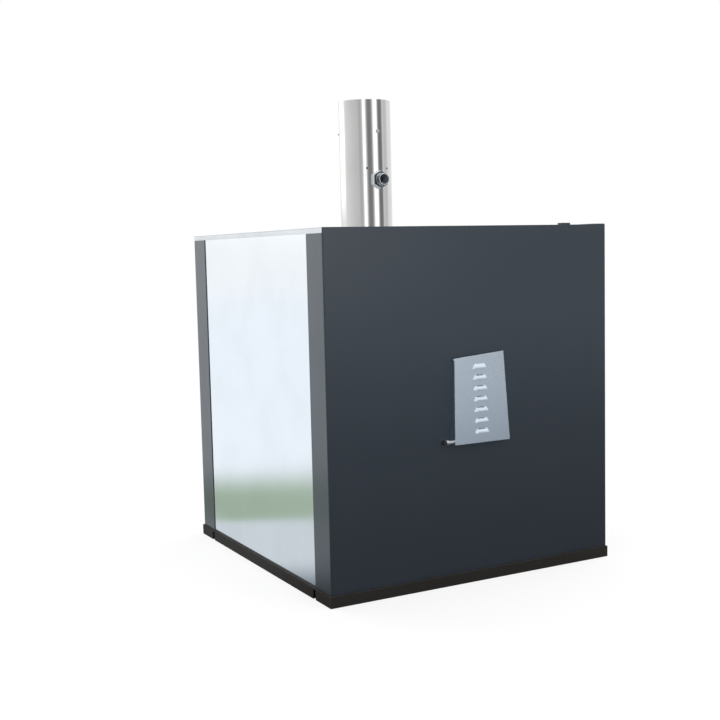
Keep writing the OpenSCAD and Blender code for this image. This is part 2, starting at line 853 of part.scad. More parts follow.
// A welded throat from the front panel into the hot box, with a rim for the
// door's rope and a strike block for the latch's cam
module throat(open_w, open_h, sill_z, y1) {
    in_x = open_w / 2;
    out_x = in_x + throat_t;
    top = sill_z + open_h;
    strike_y = cam_y - strike_gap;
    color("#53575b") {
        for (z = [sill_z - throat_t, top])
            block([-out_x, rim_y, z], [out_x, y1, z + throat_t]);
        for (z = [sill_z - rim_w, top + throat_t + weld_gap])
            block([-in_x - rim_w, rim_y, z], [in_x + rim_w, -half_d, z + rim_w - throat_t - weld_gap]);
        for (side = [0, 1])
            mirror([side, 0, 0]) {
                block([in_x, rim_y, sill_z + weld_gap], [out_x, y1, top - weld_gap]);
                block([out_x + weld_gap, rim_y, sill_z - throat_t],
                    [in_x + rim_w, -half_d, top + throat_t]);
            }
        block([in_x - strike_w, strike_y - strike_t, sill_z + open_h / 2 - strike_h / 2],
            [in_x - weld_gap, strike_y, sill_z + open_h / 2 + strike_h / 2]);
    }
}

module baking_throat() {
    throat(bake_open_w, bake_open_h, bake_sill_z, muffle_y0);
}

module fire_throat() {
    throat(fire_open_w, fire_open_h, fire_sill_z, fire_y0 - brick_joint);
}

// A door's hollow front box, folded from one sheet
module door_box(open_w, open_h, sill_z) {
    w = open_w + 2 * rim_w;
    h = open_h + 2 * rim_w;
    latch_z = sill_z + open_h / 2;
    difference() {
        translate([0, 0, sill_z - rim_w]) folded_pan(w, h, door_front, door_back);
        wide_block(w - 2 * door_sheet_t, door_front + door_sheet_t, door_back + cut,
            sill_z - rim_w + door_sheet_t, sill_z + open_h + rim_w - door_sheet_t);
        y_rod(spindle_r + run_gap, latch_x(open_w), latch_z, door_front - cut, door_back);
    }
}

// A door's inner side: a back plate with the rope's groove, and the plug that fills the throat
module door_plug(open_w, open_h, sill_z) {
    w = open_w + 2 * rim_w - 2 * door_sheet_t;
    h = open_h + 2 * rim_w - 2 * door_sheet_t;
    mid_z = sill_z + open_h / 2;
    groove = rope_dia + 2 * rope_side_gap;
    difference() {
        union() {
            wide_block(w, door_back - plug_plate_t, door_back, mid_z - h / 2, mid_z + h / 2);
            wide_block(open_w - 2 * plug_gap, door_back - eps, plug_y,
                sill_z + plug_gap, sill_z + open_h - plug_gap);
        }
        difference() {
            wide_block(open_w + rim_w + groove, door_back - groove_d, door_back + cut,
                mid_z - (open_h + rim_w + groove) / 2, mid_z + (open_h + rim_w + groove) / 2);
            wide_block(open_w + rim_w - groove, door_back - groove_d - cut, door_back + cut,
                mid_z - (open_h + rim_w - groove) / 2, mid_z + (open_h + rim_w - groove) / 2);
        }
        y_rod(spindle_r + run_gap, latch_x(open_w), mid_z, door_back - plug_plate_t - cut, plug_y + cut);
    }
}

// Sealing rope laid round the groove, bent at the corners
module door_rope(open_w, open_h, sill_z) {
    r = rope_dia / 2;
    x = (open_w + rim_w) / 2 - rope_bend;
    z = (open_h + rim_w) / 2 - rope_bend;
    color("#d9d4c8") translate([0, rim_y - rope_gap - r, sill_z + open_h / 2]) rotate([90, 0, 0]) {
        for (s = [-1, 1]) {
            translate([s * (x + rope_bend), z, 0]) rotate([90, 0, 0]) cylinder(r = r, h = 2 * z);
            translate([-x, s * (z + rope_bend), 0]) rotate([0, 90, 0]) cylinder(r = r, h = 2 * x);
        }
        for (q = [0 : 3])
            translate([(q == 0 || q == 3 ? 1 : -1) * x, (q < 2 ? 1 : -1) * z, 0])
                rotate([0, 0, 90 * q]) rotate_extrude(angle = 90) translate([rope_bend, 0]) circle(r);
    }
}

function knuckle_zs(open_h, sill_z) = [sill_z + knuckle_in, sill_z + open_h - knuckle_in];

module door_knuckles(open_w, open_h, sill_z) {
    x = hinge_x(open_w);
    color("#b7babd")
        for (z = knuckle_zs(open_h, sill_z))
            difference() {
                union() {
                    z_rod(knuckle_r, x, hinge_y, z - knuckle_h / 2, z + knuckle_h / 2);
                    block([x, hinge_y - strap_t / 2, z - knuckle_h / 2],
                        [-door_half_w(open_w), hinge_y + strap_t / 2, z + knuckle_h / 2]);
                }
                z_rod(pin_r + run_gap, x, hinge_y, z - knuckle_h, z + knuckle_h);
            }
}

// Two lugs and their leaf at each knuckle, screwed to the front panel
module hinge_lugs(open_w, open_h, sill_z) {
    x = hinge_x(open_w);
    lug_z = knuckle_h / 2 + slide_gap;
    leaf_h = 2 * (lug_z + lug_t) + 16;
    color("#8b8f92")
        for (z = knuckle_zs(open_h, sill_z))
            difference() {
                union() {
                    block([x - knuckle_r - leaf_out, -half_d - rim_t, z - leaf_h / 2],
                        [x + knuckle_r + leaf_in, -half_d, z + leaf_h / 2]);
                    for (z0 = [z - lug_z - lug_t, z + lug_z]) {
                        z_rod(knuckle_r, x, hinge_y, z0, z0 + lug_t);
                        block([x - knuckle_r, hinge_y, z0],
                            [x + knuckle_r, -half_d - rim_t + eps, z0 + lug_t]);
                    }
                }
                z_rod(pin_r, x, hinge_y, z - leaf_h, z + leaf_h);
            }
}

// A headed pin through each knuckle and its lugs
module hinge_pins(open_w, open_h, sill_z) {
    x = hinge_x(open_w);
    lug_z = knuckle_h / 2 + slide_gap + lug_t;
    color("#c9ccd0")
        for (z = knuckle_zs(open_h, sill_z)) {
            z_rod(pin_r, x, hinge_y, z - lug_z - pin_tail, z + lug_z);
            z_rod(pin_head_r, x, hinge_y, z + lug_z, z + lug_z + pin_head_t);
        }
}

// Spindle with the lever outside and the cam inside, in the released position
module latch(open_w, mid_z) {
    x = latch_x(open_w);
    color("#c9ccd0") {
        y_rod(spindle_r, x, mid_z, lever_y, cam_y + cam_t);
        y_rod(boss_r, x, mid_z, lever_y, door_front - slide_gap);
        translate([x - cam_w / 2, cam_y, mid_z]) cube([cam_w, cam_t, cam_l]);
        y_rod(cam_w / 2 + 2, x, mid_z, cam_y, cam_y + cam_t);
        translate([x, lever_y, mid_z - lever_w / 2]) cube([tang_x0, lever_t, lever_w]);
        translate([x + tang_x0 - eps, lever_y + lever_t / 2, mid_z]) rotate([0, 90, 0]) {
            cylinder(r = tang_r, h = lever_l - tang_x0);
            translate([0, 0, grip_gap + grip_l])
                cylinder(r = tip_r, h = lever_l - tang_x0 - grip_gap - grip_l);
        }
    }
}

// Half-thickness of the turned grip at a share of its length
function grip_at(s) = grip_r * (0.78 + 0.22 * sin(180 * s)) - (s < 0.05 || s > 0.95 ? 1.2 : 0);

module latch_grip(open_w, mid_z) {
    steps = [0, 0.05, 0.15, 0.3, 0.5, 0.7, 0.85, 0.95, 1];
    grip_x = latch_x(open_w) + tang_x0 + grip_gap;
    color("#8a5a33") translate([grip_x, lever_y + lever_t / 2, mid_z]) rotate([0, 90, 0])
        rotate_extrude()
            polygon(concat([for (s = steps) [grip_at(s), s * grip_l]], [[tang_r, grip_l], [tang_r, 0]]));
}

module baking_door_box() {
    color("#b7babd") difference() {
        door_box(bake_open_w, bake_open_h, bake_sill_z);
        y_rod(stem_r, 0, bake_mid_z, door_front - cut, door_back);
    }
}

module baking_door_plug() {
    color("#8b8f92") difference() {
        door_plug(bake_open_w, bake_open_h, bake_sill_z);
        y_rod(stem_r, 0, bake_mid_z, door_back - plug_plate_t - cut, plug_y + cut);
    }
}

module baking_door_rope() {
    door_rope(bake_open_w, bake_open_h, bake_sill_z);
}

module baking_door_knuckles() {
    door_knuckles(bake_open_w, bake_open_h, bake_sill_z);
}

module baking_hinge_lugs() {
    hinge_lugs(bake_open_w, bake_open_h, bake_sill_z);
}

module baking_hinge_pins() {
    hinge_pins(bake_open_w, bake_open_h, bake_sill_z);
}

module baking_latch() {
    latch(bake_open_w, bake_mid_z);
}

module baking_latch_grip() {
    latch_grip(bake_open_w, bake_mid_z);
}

// Round case with a front lip, and the probe through the door
module thermometer_case() {
    z = bake_mid_z;
    y0 = door_front - dial_d;
    color("#c9ccd0") difference() {
        union() {
            y_rod(dial_r, 0, z, y0 + dial_lip, door_front);
            y_rod(dial_r - 1, 0, z, y0, y0 + dial_lip + eps);
            y_rod(stem_r, 0, z, door_front - eps, plug_y + stem_out);
        }
        y_rod(dial_r - dial_lip - dial_wall, 0, z, y0 - cut, y0 + dial_lip + cut);
        y_rod(dial_r - dial_wall, 0, z, y0 + dial_lip, door_front - dial_floor);
        y_rod(pointer_r + run_gap, 0, z, door_front - dial_floor - cut, door_front - dial_floor / 2);
    }
}

module thermometer_dial() {
    y1 = door_front - dial_floor;
    color("#f2f1ec") difference() {
        y_rod(dial_r - dial_wall, 0, bake_mid_z, y1 - dial_plate_t, y1);
        y_rod(pointer_r + run_gap, 0, bake_mid_z, y1 - dial_plate_t - cut, y1 + cut);
    }
}

// Needle that stands at its lowest mark, with its hub and tail
module thermometer_pointer() {
    y1 = door_front - dial_floor - dial_plate_t;
    color("#1c1c1c") translate([0, y1 - needle_gap, bake_mid_z]) {
        rotate([90, 0, 0]) cylinder(r = 3 * pointer_r, h = needle_t);
        translate([0, needle_gap + dial_plate_t + dial_floor / 2 - slide_gap, 0]) rotate([90, 0, 0])
            cylinder(r = pointer_r, h = needle_gap + dial_plate_t + dial_floor / 2 - slide_gap + eps);
        rotate([90, 0, 0]) linear_extrude(needle_t) rotate(needle_rest)
            polygon([[-8, -1.6], [-8, 1.6], [0, 1.8], [needle_l, 0.5], [needle_l, -0.5], [0, -1.8]]);
    }
}

module thermometer_glass() {
    y0 = door_front - dial_d + dial_lip;
    color([0.8, 0.9, 0.95, 0.35]) y_rod(dial_r - dial_wall, 0, bake_mid_z, y0, y0 + glass_t);
}

// Ring sector windows, round the Z axis
module windows(turn) {
    for (i = [0 : rosette_count - 1])
        rotate(turn + i * 360 / rosette_count)
            intersection() {
                difference() {
                    circle(window_r1);
                    circle(window_r0);
                }
                polygon([[0, 0],
                    2 * rosette_r * [cos(window_angle / 2), -sin(window_angle / 2)],
                    2 * rosette_r * [cos(window_angle / 2), sin(window_angle / 2)]]);
            }
}

// Windows cut along Y through a plate between y0 and y1
module window_cut(turn, y0, y1) {
    translate([rosette_x, y1, fire_mid_z]) rotate([90, 0, 0]) linear_extrude(y1 - y0) windows(turn);
}

module fire_door_box() {
    color("#b7babd") {
        difference() {
            door_box(fire_open_w, fire_open_h, fire_sill_z);
            window_cut(0, door_front - cut, door_front + door_sheet_t + cut);
            y_rod(rivet_r, rosette_x, fire_mid_z, door_front - cut, door_front + door_sheet_t + cut);
        }
    }
}

module fire_door_plug() {
    color("#6a6d70") difference() {
        door_plug(fire_open_w, fire_open_h, fire_sill_z);
        y_rod(air_hole_r, rosette_x, fire_mid_z, door_back - plug_plate_t - cut, plug_y - plug_plate_t);
        window_cut(0, plug_y - plug_plate_t - cut, plug_y + cut);
    }
}

module fire_door_rope() {
    door_rope(fire_open_w, fire_open_h, fire_sill_z);
}

module fire_door_knuckles() {
    door_knuckles(fire_open_w, fire_open_h, fire_sill_z);
}

module fire_hinge_lugs() {
    hinge_lugs(fire_open_w, fire_open_h, fire_sill_z);
}

module fire_hinge_pins() {
    hinge_pins(fire_open_w, fire_open_h, fire_sill_z);
}

module fire_latch() {
    latch(fire_open_w, fire_mid_z);
}

module fire_latch_grip() {
    latch_grip(fire_open_w, fire_mid_z);
}

// Disc with windows that closes the air holes in the fire door at rest
module air_rosette() {
    y1 = door_front - slide_gap;
    color("#8b8f92") {
        difference() {
            y_rod(rosette_r, rosette_x, fire_mid_z, y1 - rosette_t, y1);
            window_cut(180 / rosette_count, y1 - rosette_t - cut, y1 + cut);
            y_rod(rivet_r + run_gap, rosette_x, fire_mid_z, y1 - rosette_t - cut, y1 + cut);
        }
        translate([rosette_x, 0, fire_mid_z - (rosette_r + window_r1) / 2])
            y_rod(tab_r, 0, 0, y1 - rosette_t - tab_l, y1 - rosette_t + eps);
    }
}

module rosette_rivet() {
    y0 = door_front - slide_gap - rosette_t - slide_gap;
    color("#c9ccd0") {
        y_rod(rivet_r, rosette_x, fire_mid_z, y0, door_front + door_sheet_t);
        y_rod(rosette_hub_r, rosette_x, fire_mid_z, y0 - rosette_hub_t, y0 + eps);
        y_rod(rosette_hub_r, rosette_x, fire_mid_z, door_front + door_sheet_t,
            door_front + door_sheet_t + rosette_hub_t);
    }
}

// Cast box round the damper plate, with the tube that guides its rod to the front
module damper_box() {
    in_x = gate_box_x - gate_wall;
    color("#3d3f41") difference() {
        union() {
            block([-gate_box_x, gate_box_y0, jacket_z1], [gate_box_x, gate_box_y1, socket_z0]);
            y_rod(rod_tube_r, 0, rod_z, -half_d, gate_box_y0 + eps);
        }
        block([-in_x, gate_box_y0 + gate_wall, jacket_z1 + gate_wall],
            [in_x, gate_box_y1 - gate_wall, socket_z0 - gate_wall]);
        z_rod(flue_r, 0, pipe_y, jacket_z1 - cut, socket_z0 + cut);
        y_rod(rod_r + rod_gap, 0, rod_z, -half_d - cut, gate_y0 + rod_in + slide_gap);
    }
}

// Damper plate with its rod, shut at rest
module damper_gate() {
    color("#7a7d80") {
        block([-gate_half, gate_y0, gate_z], [gate_half, gate_y0 + gate_w, gate_z + gate_t]);
        y_rod(rod_r, 0, rod_z, -half_d - knob_gap - knob_l + knob_end, gate_y0 + rod_in);
    }
}

module damper_knob() {
    color("#8a5a33") translate([0, -half_d - knob_gap, rod_z]) rotate([90, 0, 0]) rotate_extrude()
        polygon([[rod_r, 0], [10, 0], [9, 5], [11, 12], [15.5, 18], [17, 24], [15.5, 30], [11, knob_l - 1],
            [0, knob_l], [0, knob_l - knob_end], [rod_r, knob_l - knob_end]]);
}

module flue_socket() {
    color("#3d3f41") difference() {
        z_rod(socket_r + socket_t, 0, pipe_y, socket_z0, top_z);
        z_rod(socket_r, 0, pipe_y, socket_z0 - cut, top_z + cut);
    }
}

// A cylinder along +X from x0 to x1 at the flue's middle and a height
module x_rod(r, z, x0, x1) {
    translate([x0, pipe_y, z]) rotate([0, 90, 0]) cylinder(r = r, h = x1 - x0);
}

// Places a screw on the pipe at each third of a turn, its head toward -X in the child's frame
module at_screws() {
    for (turn = [0, 120, 240])
        translate([0, pipe_y, top_z + screw_h]) rotate([0, 0, turn]) rotate([0, -90, 0]) children();
}

module flue_pipe() {
    color("#c9ccd0") difference() {
        z_rod(pipe_dia / 2, 0, pipe_y, socket_z0, pipe_top);
        z_rod(flue_r, 0, pipe_y, socket_z0 - cut, pipe_top + cut);
        x_rod(port_r, port_z, -pipe_dia, 0);
        at_screws() cylinder(r = screw_r, h = pipe_dia);
    }
}

module flue_screws() {
    color("#8b8f92") at_screws() {
        translate([0, 0, flue_r]) cylinder(r = screw_r, h = pipe_t + eps);
        translate([0, 0, pipe_dia / 2]) cylinder(r = screw_head_r, h = screw_head_t);
    }
}

// Flat ring on the roof round the pipe
module flue_collar() {
    color("#c9ccd0") difference() {
        z_rod(socket_r + socket_t + collar_w, 0, pipe_y, top_z, top_z + collar_t);
        z_rod(socket_r, 0, pipe_y, top_z - cut, top_z + collar_t + cut);
    }
}

// Six-sided boss on the pipe, its inner face shaped to the pipe
module port_hexagon() {
    color("#b7babd") difference() {
        translate([-pipe_dia / 2 - port_hex_out, pipe_y, port_z]) rotate([0, 90, 0])
            cylinder(r = port_hex / 2, h = port_hex_out + port_hex / 4, $fn = 6);
        z_rod(pipe_dia / 2, 0, pipe_y, port_z - port_hex, port_z + port_hex);
        x_rod(port_r, port_z, -pipe_dia, 0);
    }
}

module port_socket() {
    color("#c9ccd0") difference() {
        union() {
            x_rod(port_r, port_z, -pipe_dia / 2 - port_hex_out - thread_neck, -flue_r / 2);
            x_rod(port_r - thread_d, port_z, -pipe_dia / 2 - port_out, -flue_r / 2);
        }
        x_rod(port_bore_r, port_z, -pipe_dia / 2 - port_out - cut, 0);
        z_rod(flue_r, 0, pipe_y, port_z - port_hex, port_z + port_hex);
    }
}

// The vent's own frame: +X is the oven's front, +Y is up and +Z is outward
module vent_place(x, z, lean) {
    translate([x, flap_y, z]) rotate([0, lean, 0]) rotate([90, 0, -90]) children();
}

// Outline of a cheek: outward and up from the panel, round its hinge end
module cheek_outline() {
    polygon([[0, cheek_low], [flap_inner(flap_z + cheek_low) - flap_gap, cheek_low],
        [flap_inner(flap_hinge_z) - flap_gap, cheek_h], [0, cheek_h]]);
    translate([flap_hinge_out, cheek_h]) circle(flap_stand - flap_gap);
    translate([0, cheek_h - eps]) square([flap_hinge_out, flap_stand - flap_gap + eps]);
}

// Bracket on the left panel: a plate round the vent opening and two splayed cheeks
module vent_frame() {
    plate_h = flap_hinge_h - vent_plate_in;
    top_w = cheek_at(plate_h);
    color("#8f979e") difference() {
        vent_place(-half_w, flap_z, 0) {
            linear_extrude(vent_ring_t) difference() {
                polygon([[-cheek_at(cheek_low), cheek_low], [cheek_at(cheek_low), cheek_low],
                    [top_w, plate_h], [-top_w, plate_h]]);
                translate([-vent_open_w / 2, vent_open_z - flap_z]) square([vent_open_w, vent_open_h]);
            }
            for (s = [-1, 1])
                translate([s * cheek_y, 0, 0]) rotate([0, 0, s * cheek_lean]) rotate([0, -90, 0])
                    linear_extrude(cheek_t, center = true) cheek_outline();
        }
        y_rod(vent_pin_r, flap_hinge_x, flap_hinge_z, flap_y - flap_low_w, flap_y + flap_low_w);
        y_rod(stay_r, stay_x, stay_z, flap_y - flap_low_w, flap_y + flap_low_w);
    }
}

// Half-space on the inner side of a louvre's sloping end
module louvre_end(side, inset) {
    reach = 2 * louvre_w;
    translate([side * louvre_w / 2, 0, flap_stand + flap_t])
        rotate([0, 0, side * atan(louvre_taper / louvre_rise)]) rotate([0, -side * louvre_draft, 0])
            translate([side > 0 ? -reach - inset : inset, -louvre_r, -louvre_r])
                cube([reach, 3 * louvre_r, 3 * louvre_r]);
}

// The louvres' bulges from a depth outward, each with a straight lower edge and sloping ends
module louvres(inset, depth) {
    for (i = [0 : louvre_count - 1])
        translate([0, louvre_first + i * louvre_pitch - flap_hinge_h, 0])
            intersection() {
                translate([0, 0, flap_stand + flap_t - louvre_back]) rotate([0, 90, 0])
                    cylinder(r = louvre_r - inset, h = 2 * louvre_w, center = true);
                translate([-louvre_w, 0, depth]) cube([2 * louvre_w, louvre_r, 2 * louvre_r]);
                louvre_end(1, inset);
                louvre_end(-1, inset);
            }
}

module vent_flap() {
    low = flap_low_w / 2;
    top = flap_top_w / 2;
    color("#a9b3bd") vent_place(flap_hinge_x, flap_hinge_z, flap_lean) {
        difference() {
            union() {
                translate([0, 0, flap_stand]) linear_extrude(flap_t)
                    polygon([[-low, -flap_hinge_h], [low, -flap_hinge_h],
                        [top, flap_over + flap_rise], [-top, flap_over]]);
                louvres(0, flap_stand + flap_t / 2);
            }
            louvres(flap_t, flap_stand - cut);
        }
        for (s = [-1, 1])
            translate([s * ear_y, 0, 0]) rotate([0, -90, 0]) linear_extrude(ear_t, center = true)
                difference() {
                    union() {
                        circle(ear_r);
                        translate([0, -ear_r]) square([flap_stand + eps, 2 * ear_r]);
                    }
                    circle(vent_pin_r + run_gap);
                }
    }
}

module vent_hinge_pin() {
    half = cheek_at(flap_hinge_h) + cheek_t + 1;
    color("#c9ccd0") y_rod(vent_pin_r, flap_hinge_x, flap_hinge_z, flap_y - half, flap_y + half);
}

// Headed pin across the lower end of both cheeks, on which the flap rests ajar
module vent_stay_pin() {
    end_y = flap_y + cheek_y + stay_out;
    color("#c9ccd0") {
        y_rod(stay_r, stay_x, stay_z, flap_y - cheek_y - 4, end_y);
        y_rod(stay_head_r, stay_x, stay_z, end_y - stay_head_t, end_y);
    }
}

module roof_clips() {
    color("#34383e")
        for (sx = [0, 1])
            mirror([sx, 0, 0])
                block([half_w - clip_w, -clip_y - clip_l / 2, top_z],
                    [half_w, clip_l / 2 - clip_y, top_z + clip_t]);
}

base_tray();
left_side_panel();
right_side_panel();
back_panel();
roof_sheet();
front_panel();
frame_posts();
frame_top_rails();
cradle_tubes();
mineral_wool();
steel_hot_box();
base_blocks();
firebrick_floor();
firebrick_walls();
fire_grate();
ash_housing();
ash_drawer_tub();
ash_drawer_front();
ash_drawer_handle();
baking_chamber();
hearth_slabs();
heat_store_slabs();
baking_throat();
fire_throat();
baking_door_box();
baking_door_plug();
baking_door_rope();
baking_door_knuckles();
baking_hinge_lugs();
baking_hinge_pins();
baking_latch();
baking_latch_grip();
thermometer_case();
thermometer_dial();
thermometer_pointer();
thermometer_glass();
fire_door_box();
fire_door_plug();
fire_door_rope();
fire_door_knuckles();
fire_hinge_lugs();
fire_hinge_pins();
fire_latch();
fire_latch_grip();
air_rosette();
rosette_rivet();
damper_box();
damper_gate();
damper_knob();
flue_socket();
flue_pipe();
flue_collar();
flue_screws();
port_hexagon();
port_socket();
vent_frame();
vent_flap();
vent_hinge_pin();
vent_stay_pin();
roof_clips();
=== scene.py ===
import json
import math

import bmesh
import bpy
from mathutils import Matrix, Vector, noise


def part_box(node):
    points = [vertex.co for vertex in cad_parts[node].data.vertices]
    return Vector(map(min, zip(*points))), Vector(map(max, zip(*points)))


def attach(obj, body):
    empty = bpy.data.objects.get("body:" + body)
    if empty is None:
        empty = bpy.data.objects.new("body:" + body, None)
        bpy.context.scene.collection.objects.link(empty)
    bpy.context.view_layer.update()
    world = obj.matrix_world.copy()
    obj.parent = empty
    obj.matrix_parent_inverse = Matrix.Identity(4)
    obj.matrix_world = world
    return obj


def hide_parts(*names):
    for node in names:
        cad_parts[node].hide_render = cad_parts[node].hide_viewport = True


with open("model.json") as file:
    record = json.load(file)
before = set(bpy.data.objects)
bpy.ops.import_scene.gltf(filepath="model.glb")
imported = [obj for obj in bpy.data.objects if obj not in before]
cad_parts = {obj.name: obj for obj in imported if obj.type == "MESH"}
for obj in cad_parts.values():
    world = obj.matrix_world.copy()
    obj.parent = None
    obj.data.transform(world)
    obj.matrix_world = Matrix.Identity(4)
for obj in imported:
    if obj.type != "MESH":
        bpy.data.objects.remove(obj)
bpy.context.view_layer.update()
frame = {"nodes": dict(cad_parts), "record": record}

MM = 0.001

# Camera, worked out from the straight edges of the casing
PHOTO_PIXELS = 720
FOCAL_PIXELS = 1106.6
SENSOR_WIDTH = 36.0
CAMERA_PLACE = Vector((-2.8525, 1.6405, 0.8771))
CAMERA_HEADING = math.radians(61.68)
CAMERA_PITCH = math.radians(-5.45)
CAMERA_ROLL = math.radians(-1.34)

# Direction from the oven to the camera, from which the studio's strips and flags are counted
CAMERA_SIDE = math.degrees(math.atan2(CAMERA_PLACE.y, CAMERA_PLACE.x))


# ---------------------------------------------------------------- materials

class Nodes:
    """A node tree, with short ways to add nodes to it and to do sums in them."""

    def __init__(self, tree):
        self.tree = tree

    def add(self, kind, inputs=None, **settings):
        node = self.tree.nodes.new(kind)
        for key, value in settings.items():
            setattr(node, key, value)
        for key, value in (inputs or {}).items():
            self.feed(node.inputs[key], value)
        return node

    def feed(self, socket, value):
        if isinstance(value, bpy.types.NodeSocket):
            self.tree.links.new(value, socket)
        elif isinstance(value, tuple) and len(value) == 3 and socket.type == "RGBA":
            socket.default_value = (*value, 1.0)
        else:
            socket.default_value = value

    def ranged(self, value, low, high, to_low=0.0, to_high=1.0):
        """The value eased from to_low at low to to_high at high. Low may be the larger one."""
        inputs = {"Value": value, "From Min": low, "From Max": high, "To Min": to_low, "To Max": to_high}
        return self.add("ShaderNodeMapRange", inputs, interpolation_type="SMOOTHSTEP").outputs["Result"]

    def maths(self, operation, *values):
        return self.add("ShaderNodeMath", dict(enumerate(values)), operation=operation).outputs[0]


class Surface(Nodes):
    """A procedural material: one Principled shader and what feeds it, in the object's own metres."""

    def __init__(self, name, **constants):
        self.material = bpy.data.materials.new(name)
        self.material.use_nodes = True
        super().__init__(self.material.node_tree)
        self.shader = self.tree.nodes["Principled BSDF"]
        self.place = self.add("ShaderNodeTexCoord").outputs["Object"]
        for key, value in constants.items():
            self.set(key, value)

    def set(self, name, value):
        self.feed(self.shader.inputs[name.replace("_", " ")], value)

    def noise(self, scale, detail, stretch=(1, 1, 1)):
        """Soft noise with its scale per metre, drawn out along an axis whose stretch is below 1."""
        place = self.add("ShaderNodeMapping", {"Vector": self.place, "Scale": stretch}).outputs[0]
        return self.add("ShaderNodeTexNoise", {"Vector": place, "Scale": scale, "Detail": detail}).outputs[0]

    def cells(self, scale):
        return self.add("ShaderNodeTexVoronoi", {"Vector": self.place, "Scale": scale}).outputs["Distance"]

    def mixed(self, factor, a, b):
        return self.add("ShaderNodeMix", {0: factor, 6: a, 7: b}, data_type="RGBA").outputs[2]

    def relief(self, height, depth, normal=None):
        """Fine unevenness of a depth in metres, over another normal where one is given."""
        inputs = {"Height": height, "Distance": depth}
        if normal is not None:
            inputs["Normal"] = normal
        return self.add("ShaderNodeBump", inputs).outputs[0]

    def rounded(self, radius):
        return self.add("ShaderNodeBevel", {"Radius": radius}, samples=4).outputs[0]

    def vector_maths(self, operation, *values):
        return self.add("ShaderNodeVectorMath", dict(enumerate(values)), operation=operation).outputs

    def facing(self):
        return self.add("ShaderNodeNewGeometry").outputs["Normal"]

    def edges(self, radius):
        """1 along sharp edges, 0 on the flats."""
        cosine = self.vector_maths("DOT_PRODUCT", self.rounded(radius), self.facing())["Value"]
        return self.ranged(cosine, 0.995, 0.75)


def drawn_out(along, share):
    """Scale of a pattern that is drawn out along one axis."""
    return tuple(share if i == along else 1.0 for i in range(3))


def powder_coat(name, colour, roughness, specular, edge_wear_and_highlight, coat=0.0, edge=0.9 * MM, ior=1.5):
    """Satin paint with a faint orange peel, a little dust, rubbed edges lightened further as a painted
    highlight, and a thin gloss skin.
    """
    cool_sheen = (0.72, 0.85, 1.0, 1.0)
    peel_depth = 0.010 * MM
    dusty = tuple(1.35 * c + 0.004 for c in colour)
    s = Surface(name, Specular_IOR_Level=specular, Specular_Tint=cool_sheen, IOR=ior,
                Coat_Weight=coat, Coat_Roughness=0.17)
    tone = s.mixed(s.ranged(s.noise(6.0, 6.0), 0.42, 0.75, 0.0, 0.10), colour, dusty)
    # Lighter edges: partly rubbed paint, partly a painted highlight along folds and ledges
    rub_and_highlight = s.maths("MULTIPLY", s.edges(edge), s.ranged(s.noise(14.0, 3.0), 0.3, 0.7, 0.4, 0.7))
    s.set("Base Color", s.mixed(rub_and_highlight, tone, edge_wear_and_highlight))
    s.set("Roughness", s.ranged(s.noise(9.0, 4.0), 0.3, 0.7, roughness - 0.012, roughness + 0.012))
    s.set("Normal", s.relief(s.noise(420.0, 2.0), peel_depth, s.rounded(edge)))
    return s.material


def brushed(name, colour, roughness, along, stain, wave=0.0, edge=0.8 * MM):
    """Stainless or zinc steel with a fine grain along one axis, cloudy handling marks, and softened edges
    that are lightened as a painted highlight.
    """
    grain_depth = 0.002 * MM
    dull = tuple(c * (1.0 - 2.2 * stain) for c in colour)
    # Lighter colour for the edges: a painted highlight
    bright = tuple(min(1.0, 1.12 * c) for c in colour)
    s = Surface(name, Metallic=1.0)
    grain = s.noise(1400.0, 3.0, drawn_out(along, 0.02))
    cloud = s.noise(7.0, 5.0)
    tone = s.mixed(s.ranged(cloud, 0.35, 0.75), colour, dull)
    s.set("Base Color", s.mixed(s.edges(edge), tone, bright))
    rough = s.ranged(grain, 0.25, 0.75, roughness * 0.9, roughness * 1.1)
    s.set("Roughness", s.maths("ADD", rough, s.ranged(cloud, 0.3, 0.8, 0.0, stain)))
    normal = s.relief(grain, grain_depth, s.rounded(edge))
    if wave:
        normal = s.relief(s.noise(2.3, 1.0), wave, normal)
    s.set("Normal", normal)
    return s.material


